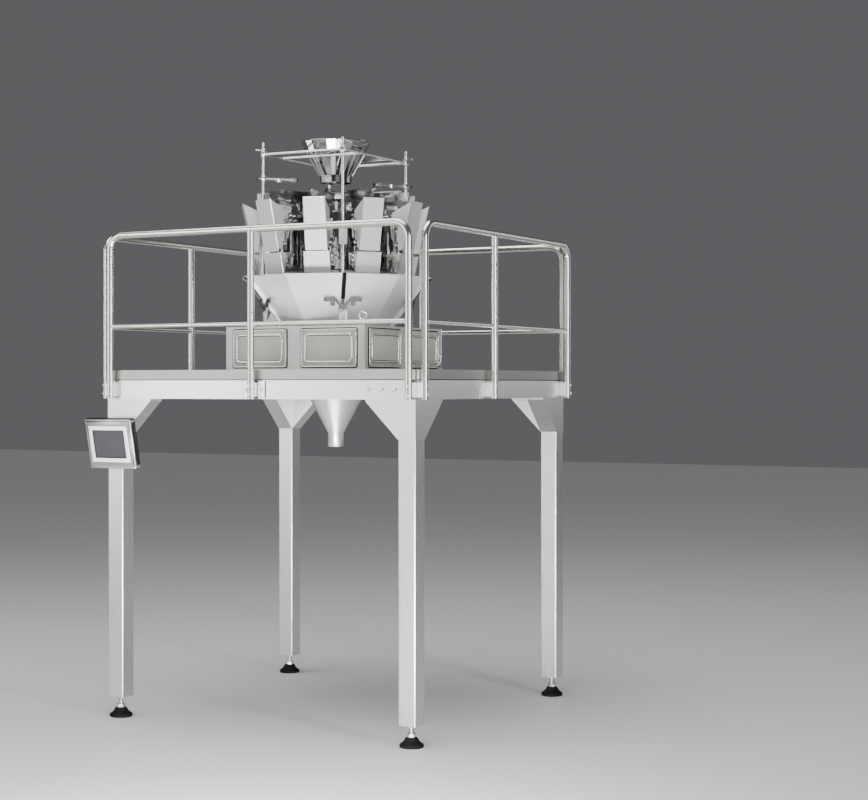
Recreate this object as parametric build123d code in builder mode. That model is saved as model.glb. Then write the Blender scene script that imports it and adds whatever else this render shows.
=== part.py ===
from build123d import *

import os
from math import cos, radians, sin, sqrt, tan

os.makedirs("parts", exist_ok=True)

# Ten-head combination weigher on a stainless steel support platform with guard rails.
# X runs to the right along the front, Y runs away from the front and Z is up.
# The origin is on the floor under the middle of the whole machine.

# Clearances and cuts shared by all pieces
seat_gap = 0.3
overrun = 10.0
hexagon_sides = 6

# Support platform
platform_width = 1900.0
platform_depth = 1800.0
deck_top = 1880.0
tray_height = 55.0
tray_wall = 4.0
tray_joint = 2.0
beam_height = 97.0
beam_width = 50.0
beam_joint = 2.0
leg_side = 100.0
leg_corner = 8.0
haunch_reach = 185.0
haunch_drop = 198.0
haunch_lip = 10.0
funnel_room = 12.0

# Levelling feet
pad_radius = 61.0
pad_height = 50.0
pad_rim = 18.0
pad_neck_radius = 30.0
stud_radius = 12.0
stud_show = 61.0
foot_nut_radius = 24.0
foot_nut_height = 20.0
foot_washer_radius = 34.0
foot_washer_height = 6.0

# Cover plates on the front beam joint and on the side tray joint
cover_width = 41.0
cover_thickness = 5.0
cover_gap = 6.0
cover_margin = 4.0

# Guard rails
rail_radius = 19.0
mid_bar_radius = 12.5
rail_standoff = 34.0
rail_rise = 727.0
mid_bar_rise = 236.0
rail_bend = 80.0
front_left_inset = 42.0
front_right_inset = 20.0
side_front_inset = 35.0
side_rear_inset = 20.0
side_mid_offset = -80.0
rail_bracket_width = 40.0
rail_bracket_margin = 12.0

# Weigher base
axis_offset = -50.0
base_margin = 94.0
base_height = 240.0
base_wall = 8.0
door_width = 350.0
door_height = 207.0
door_thickness = 4.0
door_corner = 14.0
ridge_inset = 26.0
ridge_width = 9.0
ridge_height = 6.0

# Discharge funnel and its spout
funnel_top_radius = 346.0
funnel_flange = 26.0
funnel_wall = 4.0
funnel_height = 582.0
spout_radius = 40.0
spout_length = 75.0

# Collecting chutes
head_count = 10
segment_count = 5
chute_inset = 36.0
chute_flare = 222.0
chute_height = 280.0
chute_wall = 4.0
chute_gap = 20.0
chute_flange = 16.0
chute_flange_wall = 3.0
chute_lip = 14.0
chute_lip_wall = 3.0

# Latch brackets in the gaps between the chutes
latch_width = 45.0
latch_thickness = 8.0
latch_height = 122.0
latch_arm_rise = 54.0
latch_arm_foot = 90.0
latch_arm_out = 42.0
latch_arm_radius = 6.0
latch_arm_thickness = 6.0
latch_flag_width = 62.0
latch_flag_height = 24.0
latch_tab_width = 26.0
latch_tab_drop = 36.0

# Weigher body
drum_radius = 300.0
drum_lift = 310.0
drum_height = 327.0
drum_leg_thickness = 10.0
drum_leg_foot = 62.0
drum_leg_step = 30.0
drum_leg_head = 75.0
drive_width = 96.0
drive_depth = 72.0
drive_margin = 14.0

# Dispersion cone and feeder pans
cone_radius = 200.0
cone_rim = 4.0
cone_lift = 70.0
cone_height = 62.0
cone_tip_radius = 8.0
cone_drive_radius = 90.0
pan_cone_gap = 6.0
pan_overhang = 70.0
pan_width = 100.0
pan_floor_width = 64.0
pan_depth = 52.0
pan_wall = 3.0
pan_lift = 58.0
pan_drive_inset = 8.0
pan_drive_edge = 14.0
pan_drive_width = 56.0

# Hoppers: fronts of both rows lie in one plane that leans out at the top
front_lean = 12.0
front_rise = 52.0
hopper_wall = 3.0
feed_width = 122.0
feed_height = 281.0
feed_depth = 129.0
feed_back_gap = 24.0
feed_back_slope = 10.0
feed_back_drop = 60.0
weigh_width = 144.0
weigh_height = 119.0
weigh_back_gap = 12.0
weigh_back_slope = 12.0
row_gap = 6.0
lip_drop = 14.0
gate_thickness = 3.0
gate_ear_height = 44.0
gate_ear_width = 30.0
hanger_width = 84.0
hanger_height = 12.0
feed_hanger_rise = 188.0
weigh_hanger_rise = 77.0

# Levers and links that open the gates, on both sides of each hopper
lever_gap = 1.0
lever_thickness = 4.0
lever_radius = 9.0
lever_boss_radius = 6.0
lever_boss_length = 4.0
lever_pivot_in = 26.0
roller_out = 12.0
roller_rise = 10.0
roller_width = 12.0
knee_in = 19.0
link_thickness = 3.0
link_radius = 7.0
ear_pin_drop = 14.0
ear_pin_radius = 5.0
feed_pivot_rise = 148.0
feed_knee_drop = 45.0
weigh_pivot_rise = 79.0
weigh_knee_drop = 26.0

# Frame above the heads
rod_radius = 8.0
rod_offset = 63.0
rod_foot_drop = 20.0
rod_stub = 65.0
rod_bracket_width = 45.0
rod_bracket_height = 110.0
rod_bracket_lift = 130.0
rod_grip = 14.0
bar_rise = 318.0
bar_radius = 7.0
clamp_side = 34.0
clamp_height = 30.0

# Infeed cone
infeed_rise = 91.0
infeed_top_radius = 191.0
infeed_band_top_radius = 163.0
infeed_band_height = 66.0
infeed_throat_radius = 90.0
infeed_cone_height = 125.0
infeed_throat_length = 38.0
infeed_wall = 3.0
infeed_rim = 5.0
infeed_rim_height = 6.0
infeed_bead = 5.0
infeed_bead_height = 8.0

# Level sensors on two of the rods
sensor_rise = 183.0
sensor_arm_length = 145.0
sensor_arm_radius = 7.0
sensor_head_radius = 12.0
sensor_head_length = 44.0
sensor_clamp_side = 30.0
sensor_clamp_height = 24.0

# Operator panel on the front left leg
panel_width = 300.0
panel_height = 267.0
panel_depth = 46.0
panel_corner = 10.0
panel_lean = 12.0
panel_drop = 30.0
panel_pivot_out = 60.0
panel_back_out = 22.0
panel_offset = 64.0
bezel_thickness = 5.0
bezel_margin = 10.0
screen_width = 206.0
screen_height = 152.0
screen_thickness = 2.0
lug_width = 118.0
lug_radius = 14.0
ear_gap = 1.0
ear_thickness = 5.0
ear_radius = 15.0
pin_radius = 6.0
pin_clearance = 0.3
mount_plate_height = 110.0
mount_plate_thickness = 5.0
knob_radius = 20.0
knob_thickness = 18.0
knob_lobes = 5
knob_lobe_radius = 6.0

# Levels worked out from the sizes above
tray_bottom = deck_top - tray_height
beam_bottom = tray_bottom - beam_height
haunch_bottom = beam_bottom - haunch_drop
leg_bottom = pad_height + stud_show
base_top = deck_top + base_height
base_plate_bottom = base_top - base_wall
spout_top = base_plate_bottom - funnel_height
rail_top = deck_top + rail_rise
mid_bar_level = deck_top + mid_bar_rise
drum_bottom = base_top + drum_lift
drum_top = drum_bottom + drum_height
front_top = drum_top + front_rise
feed_bottom = front_top - feed_height
weigh_bottom = feed_bottom - weigh_height
feed_hanger_level = feed_bottom + feed_hanger_rise
weigh_hanger_level = weigh_bottom + weigh_hanger_rise
sensor_level = drum_top + sensor_rise
rod_bottom = drum_bottom - rod_foot_drop
bar_level = drum_top + bar_rise
rod_top = bar_level + rod_stub
infeed_top = bar_level + infeed_rise
panel_pivot_level = haunch_bottom - panel_drop
leg_x = (platform_width - leg_side) / 2
leg_y = (platform_depth - leg_side) / 2

# Radii and widths worked out from the sizes above
base_side = 2 * (funnel_top_radius + base_margin)
chute_bottom_radius = funnel_top_radius - chute_inset
chute_top_radius = chute_bottom_radius + chute_flare
drive_front_radius = drum_radius + drive_depth
pan_inner_radius = cone_radius + pan_cone_gap
pan_outer_radius = drive_front_radius + pan_overhang
pan_drive_inner = pan_inner_radius + pan_drive_inset
pan_drive_outer = drum_radius - pan_drive_edge
feed_back_top_radius = drive_front_radius + feed_back_gap
feed_back_bottom_radius = feed_back_top_radius + feed_back_slope
weigh_back_top_radius = drive_front_radius + weigh_back_gap
weigh_back_bottom_radius = weigh_back_top_radius + weigh_back_slope
front_top_radius = feed_back_top_radius + feed_depth
rod_circle = drive_front_radius + rod_offset

# Reach of the panel in front and of the rails behind, which set the middle of the machine
panel_front_out = (panel_back_out + panel_depth + bezel_thickness) * cos(radians(panel_lean))
panel_top_out = panel_height / 2 * sin(radians(panel_lean))
panel_reach = platform_depth / 2 + panel_pivot_out + panel_front_out + panel_top_out
rail_reach = platform_depth / 2 + rail_standoff + rail_radius
frame_shift = (panel_reach - rail_reach) / 2

# Azimuths are counted from the front, to the right as seen from above
front_angle = -90.0
head_step = 360.0 / head_count
first_head = head_step / 2
segment_step = 360.0 / segment_count
first_gap = segment_step / 2
rod_azimuths = (36.0, 144.0, 216.0, 324.0)
sensor_azimuths = (144.0, 324.0)

ground = Plane(origin=(0, frame_shift, 0))
weigher = Plane(origin=(axis_offset, frame_shift, 0))
standing = (Align.CENTER, Align.CENTER, Align.MIN)


def write_piece(part, name):
    """Label a finished piece and write it to a file of its own."""
    part.label = name
    export_step(part, f"parts/{name}.step")


def placed_round(piece, azimuths):
    """Return copies of a piece modelled along +X, turned to each azimuth about the weigher's axis."""
    with BuildPart() as ring:
        for azimuth in azimuths:
            turn = Location((axis_offset, frame_shift, 0), (0, 0, front_angle + azimuth))
            add(piece.moved(turn))
    return ring.part


def steps_round(first, step, count):
    """Return evenly spaced azimuths."""
    return [first + step * index for index in range(count)]


def round_bar(start, end, radius):
    """Return a round bar between two points."""
    run = Vector(*end) - Vector(*start)
    with BuildPart() as bar:
        with BuildSketch(Plane(origin=start, z_dir=run)):
            Circle(radius)
        extrude(amount=run.length)
    return bar.part


def hexagon_bar(start, end, radius):
    """Return a hexagonal bar between two points, as of a bolt's head or a spacer."""
    run = Vector(*end) - Vector(*start)
    with BuildPart() as bar:
        with BuildSketch(Plane(origin=start, z_dir=run)):
            RegularPolygon(radius, hexagon_sides)
        extrude(amount=run.length)
    return bar.part


def shell_of_revolution(outline, wall):
    """Return a thin round shell about the weigher's axis from (radius, level) points of its inside."""
    inside = list(outline)
    outside = [(radius + wall, level) for radius, level in inside]
    with BuildPart() as shell:
        with BuildSketch(Plane.XZ):
            with BuildLine():
                Polyline(*inside, *reversed(outside), close=True)
            make_face()
        revolve(axis=Axis.Z)
    return shell.part


def radial_plate(outline, thickness):
    """Return a plate in the plane of the weigher's axis and +X, from (radius, level) points."""
    with BuildPart() as plate:
        with BuildSketch(Plane.XZ):
            with BuildLine():
                Polyline(*outline, close=True)
            make_face()
        extrude(amount=thickness / 2, both=True)
    return plate.part


def front_radius(level):
    """Radius of the hopper fronts at a level."""
    return front_top_radius - (front_top - level) * tan(radians(front_lean))


def chute_radius(level):
    """Corner radius of the chutes at a level."""
    slope = (chute_top_radius - chute_bottom_radius) / chute_height
    return chute_bottom_radius + (level - base_top) * slope


def funnel_radius(level):
    """Inside radius of the discharge funnel at a level."""
    slope = (funnel_top_radius - spout_radius) / funnel_height
    return funnel_top_radius - (base_plate_bottom - level) * slope


# Legs
with BuildPart() as legs:
    with BuildSketch(ground.offset(leg_bottom)):
        with GridLocations(2 * leg_x, 2 * leg_y, 2, 2):
            RectangleRounded(leg_side, leg_side, leg_corner)
    extrude(amount=haunch_bottom - leg_bottom)
write_piece(legs.part, "legs")

# Haunch boxes on top of the legs, with a gusset running out under each beam
haunch_corner = (-platform_width / 2, frame_shift - platform_depth / 2, haunch_bottom)
haunch_end = leg_side + haunch_reach
haunch_outline = (
    (0, 0),
    (leg_side, 0),
    (haunch_end, haunch_drop - haunch_lip),
    (haunch_end, haunch_drop),
    (0, haunch_drop),
)
with BuildPart() as haunches:
    with BuildSketch(Plane(origin=haunch_corner, x_dir=(1, 0, 0), z_dir=(0, -1, 0))):
        with BuildLine():
            Polyline(*haunch_outline, close=True)
        make_face()
    extrude(amount=-leg_side)
    with BuildSketch(Plane(origin=haunch_corner, x_dir=(0, 1, 0), z_dir=(1, 0, 0))):
        with BuildLine():
            Polyline(*haunch_outline, close=True)
        make_face()
    extrude(amount=leg_side)
    mirror(about=Plane.YZ)
    mirror(about=Plane.XZ.offset(-frame_shift))
write_piece(haunches.part, "haunches")

# Levelling feet
with BuildPart() as foot_pads:
    with Locations(ground):
        with GridLocations(2 * leg_x, 2 * leg_y, 2, 2):
            Cylinder(pad_radius, pad_rim, align=standing)
    with Locations(ground.offset(pad_rim)):
        with GridLocations(2 * leg_x, 2 * leg_y, 2, 2):
            Cone(pad_radius, pad_neck_radius, pad_height - pad_rim, align=standing)
write_piece(foot_pads.part, "foot_pads")

with BuildPart() as foot_studs:
    with BuildSketch(ground.offset(pad_height)):
        with GridLocations(2 * leg_x, 2 * leg_y, 2, 2):
            Circle(stud_radius)
    extrude(amount=stud_show)
    with BuildSketch(ground.offset(pad_height)):
        with GridLocations(2 * leg_x, 2 * leg_y, 2, 2):
            RegularPolygon(foot_nut_radius, hexagon_sides)
    extrude(amount=foot_nut_height)
    with BuildSketch(ground.offset(leg_bottom - foot_washer_height)):
        with GridLocations(2 * leg_x, 2 * leg_y, 2, 2):
            Circle(foot_washer_radius)
    extrude(amount=foot_washer_height)
write_piece(foot_studs.part, "foot_studs")

# Beams under the deck; the front one is in two halves
half_beam = (platform_width - beam_joint) / 2
beam_y = (platform_depth - beam_width) / 2
beam_x = (platform_width - beam_width) / 2
side_beam_length = platform_depth - 2 * beam_width
beam_layout = {
    "beam_front_left": (-(beam_joint + half_beam) / 2, -beam_y, half_beam, beam_width),
    "beam_front_right": ((beam_joint + half_beam) / 2, -beam_y, half_beam, beam_width),
    "beam_rear": (0, beam_y, platform_width, beam_width),
    "beam_left": (-beam_x, 0, beam_width, side_beam_length),
    "beam_right": (beam_x, 0, beam_width, side_beam_length),
}
for beam_name, (centre_x, centre_y, length_x, length_y) in beam_layout.items():
    with BuildPart() as beam:
        with BuildSketch(ground.offset(beam_bottom)):
            with Locations((centre_x, centre_y)):
                Rectangle(length_x, length_y)
        extrude(amount=beam_height)
    write_piece(beam.part, beam_name)

# Cross beams and the bearers on them, under the two long walls of the weigher base
bearer_y = (base_side - beam_width) / 2
with BuildPart() as cross_beams:
    with BuildSketch(ground.offset(beam_bottom)):
        with GridLocations(0, 2 * bearer_y, 1, 2):
            Rectangle(platform_width - 2 * beam_width, beam_width)
    extrude(amount=beam_height)
write_piece(cross_beams.part, "cross_beams")

with BuildPart() as deck_bearers:
    with BuildSketch(ground.offset(tray_bottom)):
        with GridLocations(0, 2 * bearer_y, 1, 2):
            Rectangle(platform_width - 2 * tray_wall, beam_width)
    extrude(amount=tray_height - tray_wall)
write_piece(deck_bearers.part, "deck_bearers")

# Deck trays, front and rear, with a round opening for the discharge funnel
tray_length = (platform_depth - tray_joint) / 2
deck_opening_radius = funnel_radius(deck_top) + funnel_wall + funnel_room
for y_side, tray_name in ((-1, "deck_front"), (1, "deck_rear")):
    tray_middle = (0, y_side * (tray_joint + tray_length) / 2)
    with BuildPart() as tray:
        with BuildSketch(ground.offset(tray_bottom)):
            with Locations(tray_middle):
                Rectangle(platform_width, tray_length)
        extrude(amount=tray_height)
        with BuildSketch(ground.offset(tray_bottom)):
            with Locations(tray_middle):
                Rectangle(platform_width - 2 * tray_wall, tray_length - 2 * tray_wall)
        extrude(amount=tray_height - tray_wall, mode=Mode.SUBTRACT)
        with BuildSketch(weigher.offset(tray_bottom)):
            Circle(deck_opening_radius)
        extrude(amount=tray_height, mode=Mode.SUBTRACT)
    write_piece(tray.part, tray_name)

# Cover plates each side of the front beam joint
with BuildPart() as joint_covers:
    with BuildSketch(Plane.XZ.offset(platform_depth / 2 - frame_shift)):
        cover_pitch = 2 * rail_radius + 2 * cover_gap + cover_width
        with Locations((0, beam_bottom + beam_height / 2)):
            with GridLocations(cover_pitch, 0, 2, 1):
                Rectangle(cover_width, beam_height - 2 * cover_margin)
    extrude(amount=cover_thickness)
write_piece(joint_covers.part, "joint_covers")

# Guard rails: one bent tube on each side, with a mid post and two mid bars
rail_x = platform_width / 2 + rail_standoff
rail_y = platform_depth / 2 + rail_standoff
front_posts = (front_left_inset - platform_width / 2, 0, platform_width / 2 - front_right_inset)
side_posts = (
    frame_shift + side_front_inset - platform_depth / 2,
    frame_shift + side_mid_offset,
    frame_shift + platform_depth / 2 - side_rear_inset,
)
rail_sides = {
    "front": (Plane.XZ.offset(rail_y - frame_shift), front_posts),
    "rear": (Plane.XZ.offset(-rail_y - frame_shift), front_posts),
    "left": (Plane.YZ.offset(-rail_x), side_posts),
    "right": (Plane.YZ.offset(rail_x), side_posts),
}
for side_name, (side_plane, (first_post, mid_post, last_post)) in rail_sides.items():
    with BuildPart() as rail:
        with BuildLine(side_plane) as rail_path:
            FilletPolyline(
                (first_post, beam_bottom),
                (first_post, rail_top),
                (last_post, rail_top),
                (last_post, beam_bottom),
                radius=rail_bend,
            )
        with BuildSketch(Plane(origin=rail_path.line @ 0, z_dir=rail_path.line % 0)):
            Circle(rail_radius)
        sweep()
    write_piece(rail.part, f"rail_{side_name}")

with BuildPart() as rail_posts:
    for side_plane, (first_post, mid_post, last_post) in rail_sides.values():
        add(round_bar(
            side_plane.from_local_coords((mid_post, beam_bottom, 0)),
            side_plane.from_local_coords((mid_post, rail_top, 0)),
            rail_radius,
        ))
    for side_plane, (first_post, mid_post, last_post) in rail_sides.values():
        add(round_bar(
            side_plane.from_local_coords((first_post, rail_top, 0)),
            side_plane.from_local_coords((last_post, rail_top, 0)),
            rail_radius + seat_gap,
        ), mode=Mode.SUBTRACT)
write_piece(rail_posts.part, "rail_posts")

with BuildPart() as rail_mid_bars:
    for side_plane, posts in rail_sides.values():
        add(round_bar(
            side_plane.from_local_coords((posts[0], mid_bar_level, 0)),
            side_plane.from_local_coords((posts[-1], mid_bar_level, 0)),
            mid_bar_radius,
        ))
    for side_plane, posts in rail_sides.values():
        for post in posts:
            add(round_bar(
                side_plane.from_local_coords((post, beam_bottom, 0)),
                side_plane.from_local_coords((post, rail_top, 0)),
                rail_radius + seat_gap,
            ), mode=Mode.SUBTRACT)
write_piece(rail_mid_bars.part, "rail_mid_bars")

with BuildPart() as rail_brackets:
    for side_plane, posts in rail_sides.values():
        outward = 1 if side_plane.origin.dot(side_plane.z_dir) > 0 else -1
        with BuildSketch(side_plane):
            with Locations(*[(post, beam_bottom + beam_height / 2) for post in posts]):
                Rectangle(rail_bracket_width, beam_height - 2 * rail_bracket_margin)
        extrude(amount=-outward * rail_standoff)
    for side_plane, posts in rail_sides.values():
        for post in posts:
            add(round_bar(
                side_plane.from_local_coords((post, beam_bottom - overrun, 0)),
                side_plane.from_local_coords((post, tray_bottom + overrun, 0)),
                rail_radius + seat_gap,
            ), mode=Mode.SUBTRACT)
write_piece(rail_brackets.part, "rail_brackets")

# Weigher base: a welded box with a round opening in its top plate
with BuildPart() as base_box:
    with BuildSketch(weigher.offset(deck_top)):
        Rectangle(base_side, base_side)
        Rectangle(base_side - 2 * base_wall, base_side - 2 * base_wall, mode=Mode.SUBTRACT)
    extrude(amount=base_height - base_wall)
    with BuildSketch(weigher.offset(base_plate_bottom)):
        Rectangle(base_side, base_side)
        Circle(funnel_top_radius, mode=Mode.SUBTRACT)
    extrude(amount=base_wall)
write_piece(base_box.part, "base_box")

# Doors of the base, two on each side, each with a raised ridge
with BuildPart() as door_pair:
    with BuildSketch(Plane.YZ.offset(base_side / 2)):
        with Locations((0, deck_top + base_height / 2)):
            with GridLocations(base_side / 2, 0, 2, 1):
                RectangleRounded(door_width, door_height, door_corner)
    extrude(amount=door_thickness)
    with BuildSketch(Plane.YZ.offset(base_side / 2 + door_thickness)):
        with Locations((0, deck_top + base_height / 2)):
            with GridLocations(base_side / 2, 0, 2, 1):
                RectangleRounded(door_width - 2 * ridge_inset, door_height - 2 * ridge_inset, door_corner)
                RectangleRounded(
                    door_width - 2 * (ridge_inset + ridge_width),
                    door_height - 2 * (ridge_inset + ridge_width),
                    door_corner - ridge_width / 2,
                    mode=Mode.SUBTRACT,
                )
    extrude(amount=ridge_height)
write_piece(placed_round(door_pair.part, (0, 90, 180, 270)), "base_doors")

# Discharge funnel, hung under the top plate of the base
funnel_outline = (
    (funnel_top_radius, base_plate_bottom),
    (spout_radius, spout_top),
    (spout_radius, spout_top - spout_length),
)
with BuildPart() as funnel_shell:
    add(shell_of_revolution(funnel_outline, funnel_wall))
    with BuildSketch(Plane.XY.offset(base_plate_bottom)):
        Circle(funnel_top_radius + funnel_flange)
        Circle(funnel_top_radius, mode=Mode.SUBTRACT)
    extrude(amount=-funnel_wall)
    with BuildPart(mode=Mode.PRIVATE) as funnel_inside:
        with BuildSketch(Plane.XZ):
            with BuildLine():
                Polyline((0, base_plate_bottom), *funnel_outline, (0, spout_top - spout_length), close=True)
            make_face()
        revolve(axis=Axis.Z)
    add(funnel_inside.part, mode=Mode.SUBTRACT)
write_piece(placed_round(funnel_shell.part, (0,)), "discharge_funnel")


def chute_form(growth):
    """Return the solid ten-sided cone of the chutes, grown outward by some amount."""
    with BuildPart() as form:
        with BuildSketch(Plane.XY.offset(base_top)):
            RegularPolygon(chute_bottom_radius + growth, head_count)
        with BuildSketch(Plane.XY.offset(base_top + chute_height)):
            RegularPolygon(chute_top_radius + growth, head_count)
        loft()
    return form.part


def chute_sector(inset):
    """Return the sector that one chute may fill, with its sides moved in by some amount."""
    half_angle = radians(segment_step / 2)
    apex = inset / sin(half_angle)
    reach = 2 * chute_top_radius
    with BuildPart() as sector:
        with BuildSketch(Plane.XY.offset(base_top)):
            with BuildLine():
                Polyline(
                    (apex, 0),
                    (apex + reach * cos(half_angle), -reach * sin(half_angle)),
                    (apex + reach * cos(half_angle), reach * sin(half_angle)),
                    close=True,
                )
            make_face()
        extrude(amount=chute_height)
    return sector.part


# Collecting chutes: five segments of two facets, with a folded flange along each side edge and a lip
# around the top
with BuildPart() as chute_skin:
    add(chute_form(0))
    add(chute_form(-chute_wall), mode=Mode.SUBTRACT)
    add(chute_sector(chute_gap / 2), mode=Mode.INTERSECT)
with BuildPart() as chute_edges:
    add(chute_form(chute_flange))
    add(chute_form(-chute_wall), mode=Mode.SUBTRACT)
    add(chute_sector(chute_gap / 2), mode=Mode.INTERSECT)
    add(chute_sector(chute_gap / 2 + chute_flange_wall), mode=Mode.SUBTRACT)
with BuildPart() as chute_rim:
    with BuildSketch(Plane.XY.offset(base_top + chute_height)):
        RegularPolygon(chute_top_radius + chute_lip, head_count)
        RegularPolygon(chute_top_radius - chute_wall, head_count, mode=Mode.SUBTRACT)
    extrude(amount=-chute_lip_wall)
    add(chute_form(-chute_wall), mode=Mode.SUBTRACT)
    add(chute_sector(chute_gap / 2), mode=Mode.INTERSECT)
with BuildPart() as chute_segment:
    add(chute_skin.part)
    add(chute_edges.part)
    add(chute_rim.part)
segment_azimuths = steps_round(0, segment_step, segment_count)
write_piece(placed_round(chute_segment.part, segment_azimuths), "chute_segments")

# Latch brackets that carry the chutes at their gaps, with two arms each that end in flag plates
gap_azimuths = steps_round(first_gap, segment_step, segment_count)
gap_edge_drop = chute_gap / 2 * tan(radians(head_step / 2))
latch_inner = chute_radius(base_top + latch_height) + chute_flange - gap_edge_drop + seat_gap
with BuildPart() as latch_bracket:
    with BuildSketch(Plane.YZ.offset(latch_inner)):
        with Locations((0, base_top + latch_height / 2)):
            Rectangle(latch_width, latch_height)
    extrude(amount=latch_thickness)
    for side in (-1, 1):
        arm_end = (side * latch_arm_out, base_top + latch_arm_foot + latch_arm_rise)
        with BuildSketch(Plane.YZ.offset(latch_inner + latch_thickness)):
            for arm_point in ((0, base_top + latch_arm_foot), arm_end):
                with Locations(arm_point):
                    Circle(latch_arm_radius)
            make_hull()
            with Locations(arm_end):
                Rectangle(
                    latch_flag_width,
                    latch_flag_height,
                    align=(Align.MIN if side > 0 else Align.MAX, Align.CENTER),
                )
                Rectangle(
                    latch_tab_width,
                    latch_tab_drop,
                    align=(Align.MIN if side > 0 else Align.MAX, Align.MAX),
                )
        extrude(amount=latch_arm_thickness)
write_piece(placed_round(latch_bracket.part, gap_azimuths), "latch_brackets")

# Weigher body: a drum on plate legs that stand in the gaps between the chutes
with BuildPart() as drum:
    with BuildSketch(weigher.offset(drum_bottom)):
        Circle(drum_radius)
    extrude(amount=drum_top - drum_bottom)
write_piece(drum.part, "drum")

leg_foot_inner = funnel_top_radius + base_wall
drum_leg = radial_plate(
    (
        (leg_foot_inner, base_top),
        (leg_foot_inner + drum_leg_foot, base_top),
        (leg_foot_inner + drum_leg_foot, base_top + drum_leg_step),
        (drum_radius - base_wall, drum_bottom),
        (drum_radius - base_wall - drum_leg_head, drum_bottom),
        (leg_foot_inner, base_top + drum_leg_step),
    ),
    drum_leg_thickness,
)
write_piece(placed_round(drum_leg, gap_azimuths), "drum_legs")

head_azimuths = steps_round(first_head, head_step, head_count)
with BuildPart() as drive_box:
    with BuildSketch(Plane.XY.offset(drum_bottom)):
        with Locations(((drum_radius + drive_front_radius) / 2 - drive_margin, 0)):
            Rectangle(drive_front_radius - drum_radius + 2 * drive_margin, drive_width)
    extrude(amount=drum_top - drum_bottom - drive_margin)
    with BuildSketch(Plane.XY.offset(drum_bottom)):
        Circle(drum_radius + seat_gap)
    extrude(amount=drum_top - drum_bottom, mode=Mode.SUBTRACT)
write_piece(placed_round(drive_box.part, head_azimuths), "drive_boxes")

# Dispersion cone on its drive
with BuildPart() as cone_drive:
    with BuildSketch(weigher.offset(drum_top)):
        Circle(cone_drive_radius)
    extrude(amount=cone_lift)
write_piece(cone_drive.part, "cone_drive")

cone_foot = drum_top + cone_lift
with BuildPart() as dispersion_cone:
    with BuildSketch(Plane.XZ):
        with BuildLine():
            Polyline(
                (0, cone_foot),
                (cone_radius, cone_foot),
                (cone_radius, cone_foot + cone_rim),
                (cone_tip_radius, cone_foot + cone_height),
                (0, cone_foot + cone_height),
                close=True,
            )
        make_face()
    revolve(axis=Axis.Z)
write_piece(placed_round(dispersion_cone.part, (0,)), "dispersion_cone")

# Feeder pans: open troughs, each on its own drive
pan_bottom = drum_top + pan_lift
pan_section = (
    (-pan_floor_width / 2, 0),
    (pan_floor_width / 2, 0),
    (pan_width / 2, pan_depth),
    (-pan_width / 2, pan_depth),
)
pan_hollow = (
    (-pan_floor_width / 2 + pan_wall, pan_wall),
    (pan_floor_width / 2 - pan_wall, pan_wall),
    (pan_width / 2 - pan_wall, pan_depth),
    (-pan_width / 2 + pan_wall, pan_depth),
)
pan_start = Plane(origin=(pan_inner_radius, 0, pan_bottom), x_dir=(0, 1, 0), z_dir=(1, 0, 0))
with BuildPart() as feeder_pan:
    with BuildSketch(pan_start):
        with BuildLine():
            Polyline(*pan_section, close=True)
        make_face()
        with BuildLine():
            Polyline(*pan_hollow, close=True)
        make_face(mode=Mode.SUBTRACT)
    extrude(amount=pan_outer_radius - pan_inner_radius)
write_piece(placed_round(feeder_pan.part, head_azimuths), "feeder_pans")

with BuildPart() as pan_drive:
    with BuildSketch(Plane.XY.offset(drum_top)):
        with Locations(((pan_drive_inner + pan_drive_outer) / 2, 0)):
            Rectangle(pan_drive_outer - pan_drive_inner, pan_drive_width)
    extrude(amount=pan_lift)
write_piece(placed_round(pan_drive.part, head_azimuths), "pan_drives")


def hopper(width, bottom, top, back_top, back_bottom, front_top_level):
    """Return one open hopper whose front plate runs on below its outlet."""
    outlet = bottom + lip_drop
    outer = (
        (front_radius(outlet), outlet),
        (front_radius(front_top_level), front_top_level),
        (back_top, top),
        (back_bottom, outlet),
    )
    inner = (
        (front_radius(outlet - overrun) - hopper_wall, outlet - overrun),
        (front_radius(front_top_level + overrun) - hopper_wall, front_top_level + overrun),
        (back_top + hopper_wall, front_top_level + overrun),
        (back_top + hopper_wall, top),
        (back_bottom + hopper_wall, outlet),
        (back_bottom + hopper_wall, outlet - overrun),
    )
    front = (
        (front_radius(bottom) - hopper_wall, bottom),
        (front_radius(bottom), bottom),
        (front_radius(front_top_level), front_top_level),
        (front_radius(front_top_level) - hopper_wall, front_top_level),
    )
    with BuildPart() as body:
        add(radial_plate(outer, width - 2 * hopper_wall))
        add(radial_plate(inner, width - 4 * hopper_wall), mode=Mode.SUBTRACT)
        add(radial_plate(front, width))
    return body.part


def gate(width, bottom, back_bottom):
    """Return the flap under a hopper's outlet, with an ear up each side."""
    outlet = bottom + lip_drop
    flap_top = outlet - seat_gap
    flap_front = front_radius(flap_top - gate_thickness) - hopper_wall - seat_gap
    half = width / 2 - hopper_wall + seat_gap
    with BuildPart() as flap:
        with BuildSketch(Plane.XY.offset(flap_top)):
            with Locations(((back_bottom + flap_front) / 2, 0)):
                Rectangle(flap_front - back_bottom, 2 * (half + gate_thickness))
        extrude(amount=-gate_thickness)
        for side in (-1, 1):
            with BuildSketch(Plane.XZ.offset(side * (half + gate_thickness / 2))):
                with Locations((back_bottom + gate_ear_width / 2, flap_top)):
                    Rectangle(gate_ear_width, gate_ear_height, align=(Align.CENTER, Align.MIN))
            extrude(amount=gate_thickness / 2, both=True)
    return flap.part


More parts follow.
